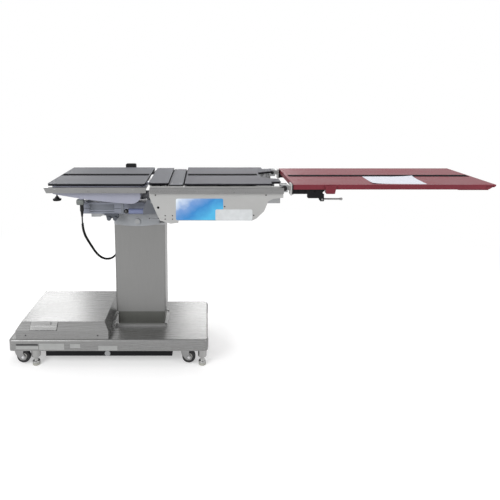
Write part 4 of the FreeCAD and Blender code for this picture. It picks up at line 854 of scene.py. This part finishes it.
# %% Rail screws
RAIL_FACE, RAIL_SCREW = 0.273, 0.0052
for body, z, places in (("seat", 0.9747, (-0.440, -0.250, -0.060, 0.130)),
                        ("back", 0.9773, (-0.965, -0.800, -0.570))):
    bm = bmesh.new()
    for side in NEAR_FAR:
        for x in places:
            screw(bm, (x, side * RAIL_FACE, z), (0, side, 0), RAIL_SCREW, proud=0.0008, steps=24)
    piece(body + "_rail_screws", bm, body, rail_steel)

# %% Hood screws
HOOD_FACE, HOOD_SCREW_Z = 0.231, 0.179
bm = bmesh.new()
for side in NEAR_FAR:
    for x in (-1.169, -0.784):
        screw(bm, (x, side * HOOD_FACE, HOOD_SCREW_Z), (0, side, 0), 0.0036)
piece("hood_screws", bm, "base", black_coat)

# %% [markdown]
# The recess in the slide housing's side gets a darker sheet, which paints the shade inside the recess, and a
# joint line runs where the housing's two halves meet. The sheet fills most of the recess that the CAD model has
# there, and the joint is a bead that stands a third of a millimetre proud.

# %% Housing recess shade and joint
RECESS_SHADE_SUNK, RECESS_SHADE_TOP, JOINT_SUNK, JOINT_TOP, JOINT_HALF = 0.1475, 0.1488, 0.1490, 0.1503, 0.0009
bm = bmesh.new()
for side in NEAR_FAR:
    side_block(bm, side, (-0.8215, RECESS_SHADE_SUNK, 0.8390), (-0.6945, RECESS_SHADE_TOP, 0.8755), 0.0004)
piece("housing_recess_shade", bm, "slide_base", recess_shade_paint)
bm = bmesh.new()
for side in NEAR_FAR:
    for x0, x1, z in ((-0.8630, -0.8235, 0.8540), (-0.6925, -0.6400, 0.8540), (-0.8235, -0.6925, 0.8372)):
        side_block(bm, side, (x0, JOINT_SUNK, z - JOINT_HALF), (x1, JOINT_TOP, z + JOINT_HALF), 0.0003)
piece("housing_joint", bm, "slide_base", black_coat)

# %% [markdown]
# The raising bridge plate has a pair of screws at each end. At the leg end, bolts hold the black brackets,
# turned caps close the hinges and small screws hold the pale meeting plates.

# %% Bridge plate screws
BRIDGE_SCREW_Y, BRIDGE_TOP = 0.209, 1.001
bm = bmesh.new()
for side in NEAR_FAR:
    for x in (-0.379, -0.339):
        screw(bm, (x, side * BRIDGE_SCREW_Y, BRIDGE_TOP), (0, 0, 1), 0.0058, proud=0.0014, steps=28)
piece("bridge_screws", bm, "bridge", rail_steel)

# %% Bracket bolts and leg hinge caps
BRACKET_FACE, BOLT_Z = 0.245, 0.966
bm = bmesh.new()
for side in NEAR_FAR:
    for x in (0.262, 0.300, 0.348):
        screw(bm, (x, side * BRACKET_FACE, BOLT_Z), (0, side, 0), 0.0046, proud=0.0026)
piece("bracket_bolts", bm, "leg_board", black_coat)
HINGE_X, HINGE_Z, HINGE_OUTER, HINGE_INNER = 0.192, 0.984, 0.2531, 0.2049
outer_cap = [(0.0, 0.0078), (0.0075, 0.0074), (0.0120, 0.0058), (0.0136, 0.0034), (0.0140, 0.0), (0.0, 0.0)]
inner_cap = [(0.0, 0.0060), (0.0060, 0.0056), (0.0090, 0.0040), (0.0096, 0.0), (0.0, 0.0)]
bm = bmesh.new()
for side in NEAR_FAR:
    turned(bm, outer_cap, (HINGE_X, side * HINGE_OUTER, HINGE_Z), (0, side, 0), steps=40)
    turned(bm, inner_cap, (HINGE_X, side * HINGE_INNER, HINGE_Z), (0, -side, 0), steps=32)
piece("leg_hinge_caps", bm, "seat", black_plastic)
LEG_PLATE_FACE, LEG_SCREW_Y = 0.2232, 0.247
bm = bmesh.new()
for side in NEAR_FAR:
    for z in (0.958, 0.997):
        screw(bm, (LEG_PLATE_FACE, side * LEG_SCREW_Y, z), (-1, 0, 0), 0.0030, proud=0.0014)
piece("leg_plate_screws", bm, "leg_arms", ground_steel)

# %% [markdown]
# ## Blank plates
# Thin blank plates lie on the near cover and on the base's front face. Their corners are rounded, and an
# inset presses the middle of each in a little, which leaves a border.

# %% Plates
def plate_finish(name, colour, roughness=0.4):
    finish = Finish(name, Coat_Weight=0.3, Coat_Roughness=0.1)
    mottled = finish.noise(finish.place(), 40.0, detail=5.0)
    fine = finish.noise(finish.place(), 600.0)
    return finish.use(Base_Color=finish.shades(mottled, colour, 0.95, 1.04),
                      Roughness=mottled * 0.1 + (roughness - 0.05), Normal=finish.bump(fine, 0.1, 0.0001))


def side_plate(bm, x0, x1, z0, z1, face_y, thick=0.0006, corner=0.003):
    """A thin plate on an upright face, its foot sunk a little into it."""
    outward = -1 if face_y < 0 else 1
    sunk = 0.0002
    old = set(bm.faces)
    made = bmesh.ops.create_cube(bm, size=1.0)["verts"]
    bmesh.ops.scale(bm, vec=(x1 - x0, thick + sunk, z1 - z0), verts=made)
    middle = ((x0 + x1) / 2, face_y + outward * (thick - sunk) / 2, (z0 + z1) / 2)
    bmesh.ops.translate(bm, verts=made, vec=middle)
    corners = list({e for v in made for e in v.link_edges
                    if abs(e.verts[0].co.y - e.verts[1].co.y) > thick / 2})
    bmesh.ops.bevel(bm, geom=corners, offset=corner, affect="EDGES", segments=4, profile=0.5, material=-1)
    fresh = [f for f in bm.faces if f not in old]
    front = max(fresh, key=lambda f: outward * f.calc_center_median().y)
    bmesh.ops.inset_region(bm, faces=[front], thickness=0.0016, depth=-thick * 0.35)


plate_white = plate_finish("plate_white", srgb(205, 208, 210))
strip_pale = plate_finish("strip_pale", srgb(158, 159, 158))
plate_black = plate_finish("plate_black", (0.012, 0.012, 0.013))

# %% [markdown]
# The larger plate is tinted: white at its upper corner towards the head, then through two blues. The fade
# follows each point's place along and up the plate, with a little noise so that it isn't a ruled band.

# %% Side plates
BLUE_LEFT, BLUE_RIGHT, BLUE_LOW, BLUE_HIGH = -0.359, -0.119, 0.820, 0.932
tint = Finish("plate_tint", Coat_Weight=0.2, Coat_Roughness=0.1)
across_plate = (tint.along(LENGTHWISE) - BLUE_LEFT) * (1 / (BLUE_RIGHT - BLUE_LEFT))
down_plate = (BLUE_HIGH - tint.along(UPRIGHT)) * (1 / (BLUE_HIGH - BLUE_LOW))
cloud = tint.noise(tint.place(), 22.0, detail=3.0)
fade = across_plate * 0.62 + down_plate * 0.42 + cloud * 0.30 - 0.15
FADE_STOPS = [(0.08, srgb(222, 230, 240)), (0.30, srgb(110, 150, 205)), (0.52, srgb(40, 128, 196)),
              (0.80, srgb(72, 176, 222))]
plate_tint = tint.use(Base_Color=tint.ramp(fade, FADE_STOPS), Roughness=cloud * 0.1 + 0.32,
                      Normal=tint.bump(tint.noise(tint.place(), 600.0), 0.1, 0.0001))
bm = bmesh.new()
side_plate(bm, BLUE_LEFT, BLUE_RIGHT, BLUE_LOW, BLUE_HIGH, -COVER_Y, corner=0.008)
piece("side_plate_blue", bm, "seat", plate_tint)
bm = bmesh.new()
side_plate(bm, -0.158, 0.030, 0.8175, 0.876, -COVER_Y, thick=0.0011, corner=0.008)
piece("side_plate_white", bm, "seat", plate_white)

# %% Base plates
BASE_FACE = 0.240
bm = bmesh.new()
for x0, x1, z0, z1 in ((-1.220, -1.101, 0.1055, 0.1235), (-1.097, -0.963, 0.103, 0.138),
                       (-0.931, -0.877, 0.1125, 0.136), (-0.781, -0.679, 0.0990, 0.125)):
    side_plate(bm, x0, x1, z0, z1, -BASE_FACE, corner=0.002)
piece("base_plates", bm, "base", strip_pale)
bm = bmesh.new()
side_plate(bm, -1.220, -1.103, 0.1265, 0.136, -BASE_FACE, corner=0.001)
piece("base_plate_black", bm, "base", plate_black)

# %% [markdown]
# ## The card
# A loose blank card lies on the board. Paper never lies quite flat, so a fine grid is lifted a little at two
# opposite corners before it gets its thickness.

# %% Card
CARD_MIDDLE, CARD_TURN = Vector((0.787, -0.128, 1.0034)), math.radians(-2.5)
CARD_LONG, CARD_WIDE, CARD_THICK = 0.272, 0.214, 0.0004
FAR_LIFT, NEAR_LIFT = 0.006, 0.004
bm = bmesh.new()
bmesh.ops.create_grid(bm, x_segments=20, y_segments=16, size=0.5)
bmesh.ops.scale(bm, vec=(CARD_LONG, CARD_WIDE, 1.0), verts=bm.verts)
for v in bm.verts:
    along, aside = v.co.x / (CARD_LONG / 2), v.co.y / (CARD_WIDE / 2)
    far_corner = max(0.0, along) ** 3 * max(0.0, aside) ** 2
    near_corner = max(0.0, -along) ** 3 * max(0.0, -aside) ** 2
    v.co.z += FAR_LIFT * far_corner + NEAR_LIFT * near_corner
bmesh.ops.solidify(bm, geom=bm.faces, thickness=CARD_THICK)
bmesh.ops.rotate(bm, verts=bm.verts, cent=(0, 0, 0), matrix=Matrix.Rotation(CARD_TURN, 3, "Z"))
bmesh.ops.translate(bm, verts=bm.verts, vec=CARD_MIDDLE)
card_white = plate_finish("card_white", srgb(204, 208, 218), 0.6)
piece("board_card", bm, "leg_board", card_white, sharp=60.0)

# %% [markdown]
# ## Levers and knobs
# Each lock lever has two turned collars, one at its hub and one near its tip. The head knobs get grip flutes
# round their rims and a flat cap below.

# %% Lever collars and knob flutes
LEVER_Y, LEVER_Z, LEVER_HUB, LEVER_TIP = 0.230, 0.924, 0.3935, 0.4790
KNOB_X, KNOB_Y, KNOB_Z, FLUTES = -0.994, 0.150, 0.9095, 16


def collar(radius, edge, length):
    """A ring's outline from its foot up, with a broken edge at each end."""
    rise = 0.0010
    return [(0.0, -rise), (radius - edge, -rise), (radius, 0.0), (radius, length),
            (radius - edge, length + rise), (0.0, length + rise)]


knob_cap = [(0.0, -0.0125), (0.0150, -0.0125), (0.0205, -0.0118), (0.0214, -0.0105), (0.0214, -0.0098),
            (0.0, -0.0098)]
for number, side in enumerate(NEAR_FAR, 1):
    bm = bmesh.new()
    turned(bm, collar(0.0060, 0.0008, 0.0030), (LEVER_TIP, side * LEVER_Y, LEVER_Z), (1, 0, 0), steps=32)
    turned(bm, collar(0.0066, 0.0010, 0.0060), (LEVER_HUB, side * LEVER_Y, LEVER_Z), (1, 0, 0), steps=32)
    piece("lever_collars_%d" % number, bm, "lock_lever_%d" % number, rail_steel)
    bm = bmesh.new()
    knob = Vector((KNOB_X, side * KNOB_Y, KNOB_Z))
    for flute in range(FLUTES):
        turn = Matrix.Rotation(flute * math.tau / FLUTES, 4, "Z")
        moved_block(bm, (0.0198, -0.0011, -0.0100), (0.0218, 0.0011, -0.0015), 0.0005,
                    Matrix.Translation(knob) @ turn)
    turned(bm, knob_cap, knob, (0, 0, 1), steps=40)
    piece("knob_flutes_%d" % number, bm, "head_knob_%d" % number, black_plastic)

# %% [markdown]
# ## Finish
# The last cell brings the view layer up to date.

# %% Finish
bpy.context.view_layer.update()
